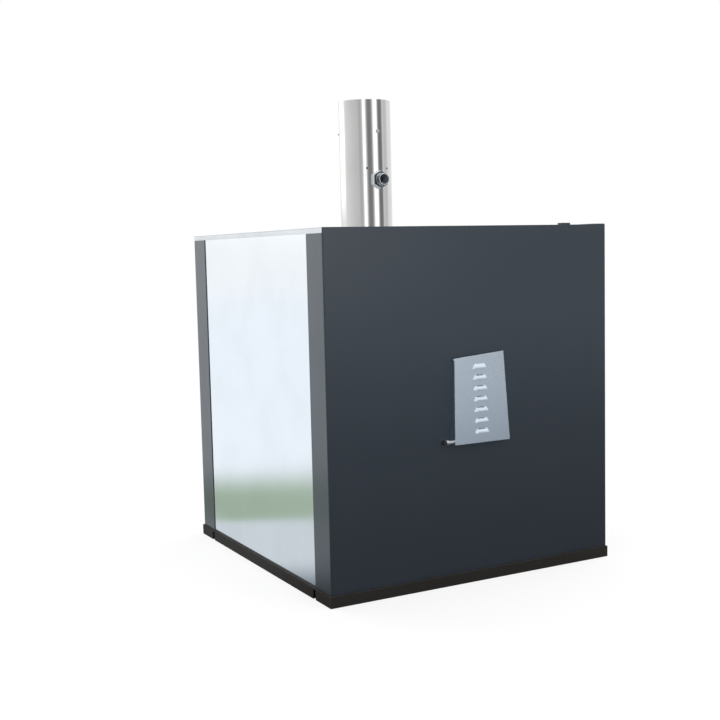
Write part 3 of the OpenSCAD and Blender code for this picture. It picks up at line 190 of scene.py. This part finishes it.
def dark_bore_fitting(name, colour, node):
    """Pipe fitting with its bore along X: darker inside the bore, bright on hexagon flats and the socket's
    end, with rubbed hexagon edges lightened as a painted highlight.
    """
    bore_grey, bare = (0.22, 0.25, 0.285), (0.84, 0.86, 0.88)
    bore, bore_edge = 14.5 * MM, (0.5 * MM, 0.1 * MM)
    hexagon_from = (17.0 * MM, 17.5 * MM)
    low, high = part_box(node)
    s = Surface(name)
    rings = s.noise(900.0, 3.0, (1.0, 0.05, 0.05))
    off = s.vector_maths("SUBTRACT", s.place, tuple((low + high) / 2))[0]
    radius = s.vector_maths("LENGTH", s.vector_maths("MULTIPLY", off, (0.0, 1.0, 1.0))[0])["Value"]
    # Darker, matt and not metallic inside the bore
    dark_bore = s.ranged(radius, bore + bore_edge[0], bore + bore_edge[1])
    stain = s.ranged(s.noise(60.0, 4.0), 0.4, 0.75, 0.0, 0.35)
    worn = s.mixed(stain, colour, tuple(0.7 * c for c in colour))
    along = s.maths("ABSOLUTE", s.add("ShaderNodeSeparateXYZ", {0: s.facing()}).outputs[0])
    end_face = s.ranged(along, 0.78, 0.92)
    hexagon = s.ranged(radius, *hexagon_from)
    bright = s.maths("ABSOLUTE", s.maths("SUBTRACT", hexagon, end_face))
    # Hexagon edges lighter: partly rubbed metal, partly a painted highlight round its outline
    rubbed_and_highlit = s.maths("MULTIPLY", hexagon, s.edges(0.9 * MM))
    clean = s.mixed(s.maths("MAXIMUM", bright, rubbed_and_highlit), worn, bare)
    s.set("Base Color", s.mixed(dark_bore, clean, bore_grey))
    s.set("Metallic", s.ranged(dark_bore, 0.0, 1.0, 0.9, 0.0))
    s.set("Roughness", s.maths("MULTIPLY_ADD", dark_bore, 0.45, s.ranged(rings, 0.25, 0.75, 0.24, 0.36)))
    s.set("Normal", s.relief(rings, 0.003 * MM, s.rounded(0.5 * MM)))
    return s.material


def heated_steel(name):
    """Mill steel that has been hot: grey scale with brown and blue bloom."""
    grey, brown, blue = (0.13, 0.115, 0.10), (0.10, 0.075, 0.05), (0.05, 0.065, 0.09)
    s = Surface(name, Metallic=0.75)
    warm = s.mixed(s.ranged(s.noise(4.0, 5.0), 0.35, 0.7), grey, brown)
    s.set("Base Color", s.mixed(s.ranged(s.noise(2.6, 3.0), 0.55, 0.72, 0.0, 0.7), warm, blue))
    s.set("Roughness", s.ranged(s.noise(60.0, 5.0), 0.3, 0.7, 0.42, 0.62))
    s.set("Normal", s.relief(s.noise(240.0, 5.0), 0.03 * MM, s.rounded(0.7 * MM)))
    return s.material


def fired_clay(name, pale, deep, speck):
    """Pressed and fired clay: mottled colour, dark grog specks, open pores and a sandy skin."""
    s = Surface(name)
    tone = s.mixed(s.ranged(s.noise(14.0, 6.0), 0.3, 0.7), pale, deep)
    specks = s.ranged(s.cells(170.0), 0.24, 0.12)
    s.set("Base Color", s.mixed(specks, tone, speck))
    s.set("Roughness", s.ranged(s.noise(90.0, 3.0), 0.3, 0.7, 0.86, 0.97))
    pores = s.ranged(s.cells(320.0), 0.1, 0.35)
    sand = s.maths("ADD", s.noise(900.0, 3.0), pores)
    s.set("Normal", s.relief(sand, 0.18 * MM, s.rounded(1.2 * MM)))
    return s.material


def cast_iron(name):
    """Sand cast iron with a pebbly skin and a trace of graphite sheen."""
    dark, rusty = (0.045, 0.045, 0.047), (0.075, 0.068, 0.062)
    s = Surface(name, Metallic=0.6, Specular_IOR_Level=0.4)
    s.set("Base Color", s.mixed(s.ranged(s.noise(11.0, 4.0), 0.35, 0.7), dark, rusty))
    s.set("Roughness", s.ranged(s.noise(130.0, 3.0), 0.3, 0.7, 0.5, 0.68))
    s.set("Normal", s.relief(s.noise(650.0, 4.0), 0.09 * MM, s.rounded(1.0 * MM)))
    return s.material


def rock_wool(name):
    """Mineral wool: felted olive brown fibres in flat layers."""
    olive, straw = (0.36, 0.31, 0.17), (0.55, 0.48, 0.28)
    s = Surface(name, Sheen_Weight=0.3, Sheen_Roughness=0.6)
    layers = s.noise(38.0, 6.0, (1.0, 1.0, 3.0))
    s.set("Base Color", s.mixed(s.ranged(layers, 0.3, 0.7), olive, straw))
    s.set("Roughness", s.ranged(layers, 0.3, 0.7, 0.9, 1.0))
    s.set("Normal", s.relief(s.noise(700.0, 6.0, (1.0, 1.0, 4.0)), 0.5 * MM))
    return s.material


def glass_fibre(name):
    """White knitted glass fibre, a little singed."""
    white, singed = (0.66, 0.64, 0.59), (0.36, 0.31, 0.25)
    s = Surface(name, Sheen_Weight=0.25, Sheen_Roughness=0.5)
    s.set("Base Color", s.mixed(s.ranged(s.noise(18.0, 4.0), 0.5, 0.75, 0.0, 0.55), white, singed))
    s.set("Roughness", s.ranged(s.noise(400.0, 3.0), 0.3, 0.7, 0.8, 0.95))
    s.set("Normal", s.relief(s.noise(2600.0, 3.0), 0.05 * MM))
    return s.material


def turned_wood(name, along):
    """Oiled beech with long grain, pores and a darker figure."""
    light, dark, pore = (0.34, 0.16, 0.065), (0.20, 0.085, 0.035), (0.08, 0.035, 0.015)
    s = Surface(name, Coat_Weight=0.25, Coat_Roughness=0.3)
    stretch = drawn_out(along, 0.09)
    figure = s.noise(95.0, 5.0, stretch)
    pores = s.ranged(s.noise(1500.0, 2.0, stretch), 0.58, 0.7)
    tone = s.mixed(s.ranged(figure, 0.3, 0.7), light, dark)
    s.set("Base Color", s.mixed(s.maths("MULTIPLY", pores, 0.6), tone, pore))
    s.set("Roughness", s.ranged(figure, 0.3, 0.7, 0.38, 0.5))
    s.set("Normal", s.relief(s.maths("SUBTRACT", figure, pores), 0.05 * MM, s.rounded(1.0 * MM)))
    return s.material


def enamel(name, colour, roughness):
    """Stoved enamel on a small sheet part."""
    s = Surface(name, Coat_Weight=0.3, Coat_Roughness=0.15)
    speckle = s.ranged(s.noise(260.0, 4.0), 0.4, 0.75, 0.0, 0.25)
    s.set("Base Color", s.mixed(speckle, colour, tuple(0.86 * c for c in colour)))
    s.set("Roughness", s.ranged(s.noise(60.0, 3.0), 0.3, 0.7, roughness - 0.05, roughness + 0.05))
    s.set("Normal", s.relief(s.noise(1200.0, 2.0), 0.004 * MM, s.rounded(0.15 * MM)))
    return s.material


def clear_glass(name):
    """Thermometer glass with a few dust marks."""
    s = Surface(name, Transmission_Weight=1.0, IOR=1.46)
    s.set("Base Color", (0.97, 0.99, 0.98))
    s.set("Roughness", s.ranged(s.noise(120.0, 5.0), 0.55, 0.85, 0.01, 0.12))
    return s.material


# Paint colours and the lighter colours of their edges, which stand for rubbed paint and a painted highlight
ANTHRACITE, RUBBED_AND_HIGHLIT = (0.0072, 0.0098, 0.0132), (0.055, 0.065, 0.080)
BASE_BLACK, BASE_RUBBED_AND_HIGHLIT = (0.0215, 0.0190, 0.0165), (0.13, 0.125, 0.12)
MATERIALS = {
    "painted_casing": powder_coat("painted_casing", ANTHRACITE, 0.42, 0.85, RUBBED_AND_HIGHLIT, 0.35, ior=1.60),
    # The base's edge colour and width give its ledge a painted highlight line, with some rubbed paint
    "base_paint": powder_coat("base_paint", BASE_BLACK, 0.62, 0.12, BASE_RUBBED_AND_HIGHLIT, edge=1.8 * MM),
    "polished_back": brushed("polished_back", (0.86, 0.905, 0.95), 0.13, 2, 0.02, wave=0.35 * MM,
                             edge=0.05 * MM),
    "roof_steel": brushed("roof_steel", (0.60, 0.63, 0.66), 0.30, 0, 0.05),
    "frame_steel": powder_coat("frame_steel", (0.05, 0.052, 0.055), 0.55, 0.4, (0.14, 0.13, 0.12)),
    "wool": rock_wool("wool"),
    "hot_steel": heated_steel("hot_steel"),
    "firebrick": fired_clay("firebrick", (0.60, 0.44, 0.28), (0.50, 0.33, 0.19), (0.16, 0.10, 0.06)),
    "fireclay": fired_clay("fireclay", (0.70, 0.60, 0.45), (0.58, 0.48, 0.34), (0.30, 0.22, 0.14)),
    "cast_iron": cast_iron("cast_iron"),
    "door_paint": powder_coat("door_paint", ANTHRACITE, 0.46, 0.35, RUBBED_AND_HIGHLIT),
    "bright_steel": brushed("bright_steel", (0.52, 0.53, 0.54), 0.40, 0, 0.05, edge=0.4 * MM),
    "rope": glass_fibre("rope"),
    "grip_wood": turned_wood("grip_wood", 0),
    "dial_case": brushed("dial_case", (0.70, 0.71, 0.72), 0.16, 1, 0.03, edge=0.4 * MM),
    "dial_face": enamel("dial_face", (0.80, 0.80, 0.76), 0.35),
    "dial_pointer": enamel("dial_pointer", (0.30, 0.015, 0.01), 0.4),
    "dial_glass": clear_glass("dial_glass"),
    "flue_steel": brushed("flue_steel", (0.68, 0.68, 0.675), 0.12, 2, 0.02),
    "fitting_steel": dark_bore_fitting("fitting_steel", (0.12, 0.132, 0.148), "port_socket"),
    "vent_steel": brushed("vent_steel", (0.70, 0.795, 0.88), 0.28, 2, 0.03, edge=0.5 * MM),
}
INK = enamel("dial_ink", (0.012, 0.012, 0.013), 0.5)


def dress_frame():
    """Gives every CAD node the material of its slot in the record."""
    for part in frame["record"]["subparts"]:
        node = frame["nodes"][part["node"]]
        node.data.materials.clear()
        node.data.materials.append(MATERIALS[part["material_slot"]])


# ---------------------------------------------------------------- pieces

def new_piece(name, mesh, body, material):
    """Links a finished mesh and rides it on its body."""
    piece = bpy.data.objects.new(name, mesh)
    bpy.context.scene.collection.objects.link(piece)
    mesh.materials.clear()
    mesh.materials.append(material)
    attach(piece, body)
    return piece


def mesh_of(name, shape, smooth=True):
    """A mesh with its faces turned outwards, from a shape that is freed."""
    mesh = bpy.data.meshes.new(name)
    bmesh.ops.recalc_face_normals(shape, faces=shape.faces)
    for face in shape.faces:
        face.smooth = smooth
    shape.to_mesh(mesh)
    shape.free()
    return mesh


def loop_frames(half_w, half_h, bend, step):
    """Points, outward directions and length so far along a rectangle with round corners, in X and Z."""
    frames = []
    run = 0.0
    straights = (2 * (half_h - bend), 2 * (half_w - bend))
    for side in range(4):
        turn = Matrix.Rotation(-side * math.pi / 2, 3, "Y")
        size = straights[side % 2]
        corner = Vector(((half_w, half_h)[side % 2] - bend, 0, bend - (half_h, half_w)[side % 2]))
        count = max(2, round(size / step))
        for i in range(count):
            along = corner + Vector((bend, 0, size * i / count))
            frames.append((turn @ along, turn @ Vector((1, 0, 0)), run + size * i / count))
        run += size
        pivot = corner + Vector((0, 0, size))
        arc = bend * math.pi / 2
        bits = max(3, round(arc / step))
        for i in range(bits):
            a = math.pi / 2 * i / bits
            out = Vector((math.cos(a), 0, math.sin(a)))
            frames.append((turn @ (pivot + bend * out), turn @ out, run + arc * i / bits))
        run += arc
    return frames, run


def braided_rope(name, node, body):
    """Knitted sealing rope: plaits cross round a tube that lies in the groove of a door."""
    strands, sides, step, lay, bend, plait = 3, 20, 1.1 * MM, 0.05, 7 * MM, 9 * MM
    low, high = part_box(node)
    centre = (low + high) / 2
    radius = (high.y - low.y) / 2
    frames, length = loop_frames((high.x - low.x) / 2 - radius, (high.z - low.z) / 2 - radius, bend, step)
    plaits = round(length / plait)
    shape = bmesh.new()
    rings = []
    for place, out, run in frames:
        phase = 2 * math.pi * plaits * run / length
        ring = []
        for i in range(sides):
            turn = 2 * math.pi * i / sides
            over = max(abs(math.sin(strands * turn + phase)), abs(math.sin(strands * turn - phase)))
            size = radius * (1 - lay * 2 * (1 - over))
            offset = out * math.cos(turn) * size + Vector((0, 1, 0)) * math.sin(turn) * size
            ring.append(shape.verts.new(centre + place + offset))
        rings.append(ring)
    for ring, after in zip(rings, rings[1:] + rings[:1]):
        for i in range(sides):
            j = (i + 1) % sides
            shape.faces.new((ring[i], ring[j], after[j], after[i]))
    piece = new_piece(name, mesh_of(name, shape), body, MATERIALS["rope"])
    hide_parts(node)


def felted_wool(name, node):
    """The wool mats with soft, uneven faces that stay inside the mats' own space."""
    longest, sink, weld, lumps_per_metre = 70 * MM, 1.6 * MM, 0.01 * MM, 55
    shape = bmesh.new()
    shape.from_mesh(frame["nodes"][node].data)
    bmesh.ops.remove_doubles(shape, verts=shape.verts, dist=weld)
    for _ in range(6):
        long_edges = [e for e in shape.edges if e.calc_length() > longest]
        if not long_edges:
            break
        bmesh.ops.subdivide_edges(shape, edges=long_edges, cuts=1)
        bmesh.ops.triangulate(shape, faces=shape.faces)
    shape.normal_update()
    moves = [(v, v.normal * -sink * (0.5 + 0.5 * noise.noise(v.co * lumps_per_metre))) for v in shape.verts]
    for vertex, move in moves:
        vertex.co += move
    piece = new_piece(name, mesh_of(name, shape), "root", MATERIALS["wool"])
    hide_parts(node)


def lathe(shape, profile, place, axis, sides):
    """Turns a profile of (radius, height) pairs round an axis; a radius of 0 closes the end in one point."""
    axis = Vector(axis).normalized()
    across = axis.orthogonal().normalized()
    beside = axis.cross(across)
    turns = [2 * math.pi * i / sides for i in range(sides)]
    spokes = [across * math.cos(t) + beside * math.sin(t) for t in turns]
    rings = []
    for radius, height in profile:
        base = Vector(place) + axis * height
        if radius == 0:
            rings.append([shape.verts.new(base)])
            continue
        rings.append([shape.verts.new(base + radius * spoke) for spoke in spokes])
    for ring, after in zip(rings, rings[1:]):
        near, far = len(ring), len(after)
        for i in range(sides):
            j = (i + 1) % sides
            corners = [ring[i % near], ring[j % near], after[j % far], after[i % far]]
            shape.faces.new(dict.fromkeys(corners))


def pipe_rivets():
    """Two blind rivets in the pipe, above the port and to either side of it."""
    above_port, aside, sides = 33 * MM, 26, 20
    # Radius and height over the pipe in mm: flange, domed rim and the hole that the mandrel left
    flange, dome = [(0, -0.4), (2.9, -0.4), (2.9, 0.1)], [(2.6, 0.6), (1.9, 0.95), (1.1, 1.05)]
    profile = [(r * MM, h * MM) for r, h in flange + dome + [(1.0, 0.3), (0, 0.3)]]
    low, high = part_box("flue_pipe")
    centre_y = (low.y + high.y) / 2
    pipe_r = (high.y - low.y) / 2
    port_low, port_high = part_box("port_hexagon")
    height = (port_low.z + port_high.z) / 2 + above_port
    shape = bmesh.new()
    for side in (-aside, aside):
        a = math.radians(180 + side)
        out = Vector((math.cos(a), math.sin(a), 0))
        lathe(shape, profile, Vector((0, centre_y, height)) + out * pipe_r, out, sides)
    new_piece("pipe_rivets", mesh_of("pipe_rivets", shape), "root", MATERIALS["cast_iron"])


# The dial's scale: where it starts and how far it goes in degrees, its marks, and its last number
DIAL_START, DIAL_SPAN = 225, 270
DIAL_STEPS, STEPS_PER_NUMBER, DIAL_TOP = 25, 5, 500


def dial_place(step, radius, centre, face_y):
    """Place on the dial's face at a step of the scale."""
    a = math.radians(DIAL_START - DIAL_SPAN * step / DIAL_STEPS)
    return Vector((centre.x + radius * math.cos(a), face_y, centre.z + radius * math.sin(a)))


def add_bar(shape, start, end, width, depth):
    """A thin raised bar between two points of the dial's face."""
    side = (end - start).normalized().cross(Vector((0, 1, 0))) * width / 2
    rise = Vector((0, -depth, 0))
    low = [shape.verts.new(p) for p in (start - side, start + side, end + side, end - side)]
    top = [shape.verts.new(v.co + rise) for v in low]
    shape.faces.new(low)
    shape.faces.new(top)
    for i in range(4):
        shape.faces.new((low[i], low[(i + 1) % 4], top[(i + 1) % 4], top[i]))


def dial_marks():
    """Scale ring of the thermometer: a long mark at each hundred degrees and four short ones between."""
    rim_gap, height = 3 * MM, 0.12 * MM
    long_mark, short_mark = (9.5 * MM, 1.0 * MM), (6.5 * MM, 0.5 * MM)
    low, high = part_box("thermometer_dial")
    centre, face_y = (low + high) / 2, low.y
    rim = (high.x - low.x) / 2
    shape = bmesh.new()
    for step in range(DIAL_STEPS + 1):
        reach, width = short_mark if step % STEPS_PER_NUMBER else long_mark
        start = dial_place(step, rim - reach, centre, face_y)
        end = dial_place(step, rim - rim_gap, centre, face_y)
        add_bar(shape, start, end, width, height)
    new_piece("dial_marks", mesh_of("dial_marks", shape, False), "baking_door", INK)


def add_number(shape, words, place, size, height):
    """Raised figures that face -Y, centred on a place."""
    curve = bpy.data.curves.new("number", "FONT")
    curve.body, curve.size, curve.extrude = words, size, height
    curve.align_x = curve.align_y = "CENTER"
    text = bpy.data.objects.new("number", curve)
    text.matrix_world = Matrix.Translation(place) @ Matrix.Rotation(math.pi / 2, 4, "X")
    bpy.context.scene.collection.objects.link(text)
    bpy.context.view_layer.update()
    flat = text.evaluated_get(bpy.context.evaluated_depsgraph_get()).to_mesh()
    flat.transform(text.matrix_world)
    shape.from_mesh(flat)
    bpy.data.objects.remove(text)
    bpy.data.curves.remove(curve)


def dial_numbers():
    """Plain hundreds round the scale."""
    size, height, from_rim = 6.4 * MM, 0.06 * MM, 14 * MM
    low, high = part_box("thermometer_dial")
    centre, face_y = (low + high) / 2, low.y
    rim = (high.x - low.x) / 2
    shape = bmesh.new()
    for step in range(0, DIAL_STEPS + 1, STEPS_PER_NUMBER):
        place = dial_place(step, rim - from_rim, centre, face_y)
        add_number(shape, str(DIAL_TOP * step // DIAL_STEPS), place, size, height)
    new_piece("dial_numbers", mesh_of("dial_numbers", shape, False), "baking_door", INK)


def port_thread():
    """Pipe thread on the port's short end, as one helical ridge that fades in and out."""
    root, crest, pitch, sides, fade_steps = 15.9 * MM, 16.75 * MM, 2.31 * MM, 48, 12
    end_gap, hexagon_gap = 1.5 * MM, 2.6 * MM
    foot, tip = 0.46 * pitch, 0.06 * pitch
    low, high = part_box("port_socket")
    centre = (low + high) / 2
    start, end = low.x + end_gap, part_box("port_hexagon")[0].x - hexagon_gap
    steps = round((end - start - pitch) / pitch * sides)
    shape = bmesh.new()
    rings = []
    for i in range(steps + 1):
        turn = 2 * math.pi * i / sides
        base = Vector((start + pitch / 2 + pitch * i / sides, centre.y, centre.z))
        out = Vector((0, math.cos(turn), math.sin(turn)))
        top = root + min(1.0, i / fade_steps, (steps - i) / fade_steps) * (crest - root)
        section = ((root, -foot), (top, -tip), (top, tip), (root, foot))
        rings.append([shape.verts.new(base + out * r + Vector((s, 0, 0))) for r, s in section])
    for ring, after in zip(rings, rings[1:]):
        for i in range(4):
            j = (i + 1) % 4
            shape.faces.new((ring[i], ring[j], after[j], after[i]))
    new_piece("port_thread", mesh_of("port_thread", shape, False), "root",
              MATERIALS["fitting_steel"])


def make_pieces():
    braided_rope("baking_door_seal", "baking_door_rope", "baking_door")
    braided_rope("fire_door_seal", "fire_door_rope", "fire_door")
    felted_wool("wool_mats", "mineral_wool")
    pipe_rivets()
    port_thread()
    dial_marks()
    dial_numbers()


# ---------------------------------------------------------------- studio

# What metal mirrors of the room. Angles are degrees round the oven from the camera's side. Heights are those
# of a direction of length 1, so 0 is the horizon. A pair of heights says where a light fades in or out.
ROOM_LEVEL, ROOM_HALF_WIDTH, ROOM_EDGE = 0.72, 70.0, 45.0
# Strip lights and flags near the horizon: middle, half width and change of the light
STRIPS_AND_FLAGS = ((0.0, 6.0, 1.25), (49.0, 9.0, 1.05), (-18.0, 6.0, -0.16), (23.0, 11.0, -0.48),
                    (74.0, 11.0, -0.66), (103.0, 12.0, -0.26))
STRIP_EDGE, STRIP_LEAN, STRIP_ENDS = 4.0, 22.0, (0.30, 0.12)
# More light high up on the camera's side
UPPER_HALF_WIDTH, UPPER_EDGE, UPPER_LEVEL, UPPER_START = 60.0, 30.0, 0.7, (0.25, 0.55)
# Thin glow over the horizon, where the polished back and the strips beside it mirror the room
GLOW_ANGLE, GLOW_HALF_WIDTH, GLOW_EDGE, GLOW_LEVEL = -123.0, 20.0, 10.0, 1.1
GLOW_START, GLOW_END = (0.03, 0.06), (0.16, 0.12)
# Light of the sky on matt surfaces
SOFT_LEVEL = 0.62


class World(Nodes):
    """The world's background and what feeds it."""

    def __init__(self, name):
        world = bpy.data.worlds.new(name)
        bpy.context.scene.world = world
        world.use_nodes = True
        super().__init__(world.node_tree)
        self.background = self.tree.nodes["Background"]
        self.background.inputs["Color"].default_value = (1, 1, 1, 1)

    def bump(self, angle, middle, half_width, edge, level):
        """The level within half_width of the middle, falling to 0 over the edge."""
        off = self.maths("ABSOLUTE", self.maths("SUBTRACT", angle, middle))
        return self.ranged(off, half_width + edge, half_width - edge, 0.0, level)


def mirrored_light(w, angle, height):
    """Light of the room as metal sees it: dimmer on the camera's side, with the strips, flags and glow."""
    light = w.maths("ADD", 1.0, w.bump(angle, 0.0, ROOM_HALF_WIDTH, ROOM_EDGE, ROOM_LEVEL - 1.0))
    leaning = w.maths("MULTIPLY_ADD", height, STRIP_LEAN, angle)
    bands = 0.0
    for middle, half_width, level in STRIPS_AND_FLAGS:
        bands = w.maths("ADD", w.bump(leaning, middle, half_width, STRIP_EDGE, level), bands)
    light = w.maths("MULTIPLY_ADD", bands, w.ranged(height, *STRIP_ENDS), light)
    upper = w.bump(angle, 0.0, UPPER_HALF_WIDTH, UPPER_EDGE, UPPER_LEVEL)
    light = w.maths("MULTIPLY_ADD", upper, w.ranged(height, *UPPER_START), light)
    glow = w.maths("MULTIPLY", w.ranged(height, *GLOW_START), w.ranged(height, *GLOW_END))
    behind = w.bump(angle, GLOW_ANGLE, GLOW_HALF_WIDTH, GLOW_EDGE, GLOW_LEVEL)
    return w.maths("MULTIPLY_ADD", behind, glow, light)


def studio_world():
    """White for the camera and through glass, the mirrored room for metal, even soft light for the rest."""
    w = World("studio")
    place = w.add("ShaderNodeTexCoord").outputs["Generated"]
    x, y, height = w.add("ShaderNodeSeparateXYZ", {0: place}).outputs
    turn = math.radians(CAMERA_SIDE)
    ahead = w.maths("MULTIPLY_ADD", x, math.cos(turn), w.maths("MULTIPLY", y, math.sin(turn)))
    aside = w.maths("MULTIPLY_ADD", x, -math.sin(turn), w.maths("MULTIPLY", y, math.cos(turn)))
    angle = w.maths("MULTIPLY", w.maths("ARCTAN2", aside, ahead), 180 / math.pi)
    path = w.add("ShaderNodeLightPath").outputs
    seen = w.maths("MAXIMUM", path["Is Camera Ray"], path["Is Transmission Ray"])
    shiny = path["Is Glossy Ray"]
    soft = w.maths("MULTIPLY", w.maths("SUBTRACT", 1.0, w.maths("MAXIMUM", seen, shiny)), SOFT_LEVEL)
    mirrored = w.maths("MULTIPLY", shiny, mirrored_light(w, angle, height))
    w.feed(w.background.inputs["Strength"], w.maths("ADD", w.maths("MAXIMUM", seen, mirrored), soft))


FLOOR_HALF, FLOOR_COLOUR = 20.0, (0.80, 0.80, 0.80)
# Distances from the oven in metres between which the camera sees more and more plain white, and its shares
CLEAN_FROM_TO, CLEAN_SHARE = (0.8, 2.4), (0.80, 1.0)
# The ground as metal mirrors it: a pale yard with a green strip behind, darker ground at the vent's side
YARD, FAR_YARD, GREEN = (0.66, 0.70, 0.72), (0.95, 0.98, 1.02), (0.385, 0.475, 0.36)
VENT_GROUND, FAR_VENT_GROUND = (0.12, 0.135, 0.155), (0.62, 0.67, 0.74)
# The camera's heading as the polished panel mirrors it, in X and Y, and distances in metres along it. The
# green strip's side is a distance along Y.
MIRRORED_HEADING = (0.880, 0.474)
GREEN_START, GREEN_SIDE, FAR_YARD_START = (0.70, 0.82), (0.45, 0.60), (1.12, 1.78)
VENT_GROUND_START, VENT_SIDE_START = (-10.0, -2.0), (0.3, -0.1)


def mirrored_ground(s):
    """Colour of the ground as metal sees it."""
    x, y, _ = s.add("ShaderNodeSeparateXYZ", {"Vector": s.place}).outputs
    x_share, y_share = MIRRORED_HEADING
    along = s.maths("ADD", s.maths("MULTIPLY", x, x_share), s.maths("MULTIPLY", y, y_share))
    green = s.maths("MULTIPLY", s.ranged(along, *GREEN_START), s.ranged(y, *GREEN_SIDE))
    behind = s.mixed(s.ranged(along, *FAR_YARD_START), s.mixed(green, YARD, GREEN), FAR_YARD)
    vent_side = s.mixed(s.ranged(along, *VENT_GROUND_START), FAR_VENT_GROUND, VENT_GROUND)
    return s.mixed(s.ranged(along, *VENT_SIDE_START), behind, vent_side)


def floor_material():
    s = Surface("studio_floor")
    s.set("Base Color", FLOOR_COLOUR)
    s.set("Roughness", 0.9)
    path = s.add("ShaderNodeLightPath").outputs
    white = s.add("ShaderNodeEmission", {"Color": (1, 1, 1)}).outputs[0]
    mirror = s.add("ShaderNodeEmission", {"Color": mirrored_ground(s)}).outputs[0]
    distance = s.vector_maths("LENGTH", s.place)["Value"]
    seen = s.maths("MULTIPLY", path["Is Camera Ray"], s.ranged(distance, *CLEAN_FROM_TO, *CLEAN_SHARE))
    base = s.add("ShaderNodeMixShader", {0: seen, 1: s.shader.outputs[0], 2: white}).outputs[0]
    full = s.add("ShaderNodeMixShader", {0: path["Is Glossy Ray"], 1: base, 2: mirror}).outputs[0]
    s.feed(s.tree.nodes["Material Output"].inputs["Surface"], full)
    return s.material


def studio_floor():
    """A pale floor that is white for the camera apart from the oven's soft shadow."""
    corners = [(FLOOR_HALF * x, FLOOR_HALF * y, 0) for x, y in ((-1, -1), (1, -1), (1, 1), (-1, 1))]
    shape = bmesh.new()
    shape.faces.new([shape.verts.new(corner) for corner in corners])
    mesh = mesh_of("studio_floor", shape, False)
    mesh.materials.append(floor_material())
    floor = bpy.data.objects.new("studio_floor", mesh)
    bpy.context.scene.collection.objects.link(floor)


def area_lamp(name, place, aim, width, height, power, in_metal=True):
    """A lamp that the camera doesn't see, and metal only where in_metal says so."""
    data = bpy.data.lights.new(name, "AREA")
    data.shape = "RECTANGLE"
    data.size, data.size_y, data.energy = width, height, power
    lamp = bpy.data.objects.new(name, data)
    bpy.context.scene.collection.objects.link(lamp)
    lamp.location = place
    lamp.rotation_euler = (Vector(aim) - Vector(place)).to_track_quat("-Z", "Y").to_euler()
    lamp.visible_camera = False
    lamp.visible_glossy = in_metal


def studio_lamps():
    area_lamp("side_box", (-3.0, -1.1, 2.4), (-0.45, 0.1, 0.8), 1.6, 1.0, power=40, in_metal=False)
    area_lamp("rear_box", (4.2, 2.5, 2.2), (0.0, 0.4, 0.7), 3.0, 1.0, power=150, in_metal=False)
    area_lamp("front_box", (0.9, -3.8, 2.0), (0.0, -0.45, 0.5), 2.4, 1.4, power=70, in_metal=False)
    area_lamp("top_box", (0.0, 0.0, 3.8), (0.0, 0.0, 0.0), 3.0, 3.0, power=90)


def photo_camera():
    """Camera at the photograph's place, tilt and lens."""
    flat, rise = math.cos(CAMERA_PITCH), math.sin(CAMERA_PITCH)
    ahead = Vector((flat * math.sin(CAMERA_HEADING), -flat * math.cos(CAMERA_HEADING), rise))
    level = ahead.cross(Vector((0, 0, 1))).normalized()
    upright = level.cross(ahead)
    right = level * math.cos(CAMERA_ROLL) + upright * math.sin(CAMERA_ROLL)
    up = upright * math.cos(CAMERA_ROLL) - level * math.sin(CAMERA_ROLL)
    data = bpy.data.cameras.new("camera")
    data.sensor_width = SENSOR_WIDTH
    data.lens = data.sensor_width * FOCAL_PIXELS / PHOTO_PIXELS
    camera = bpy.data.objects.new("camera", data)
    bpy.context.scene.collection.objects.link(camera)
    turned = Matrix((right, up, -ahead)).transposed().to_4x4()
    camera.matrix_world = Matrix.Translation(CAMERA_PLACE) @ turned
    bpy.context.scene.camera = camera


dress_frame()
make_pieces()
photo_camera()
studio_world()
studio_floor()
studio_lamps()
bpy.context.scene.view_settings.view_transform = "Standard"
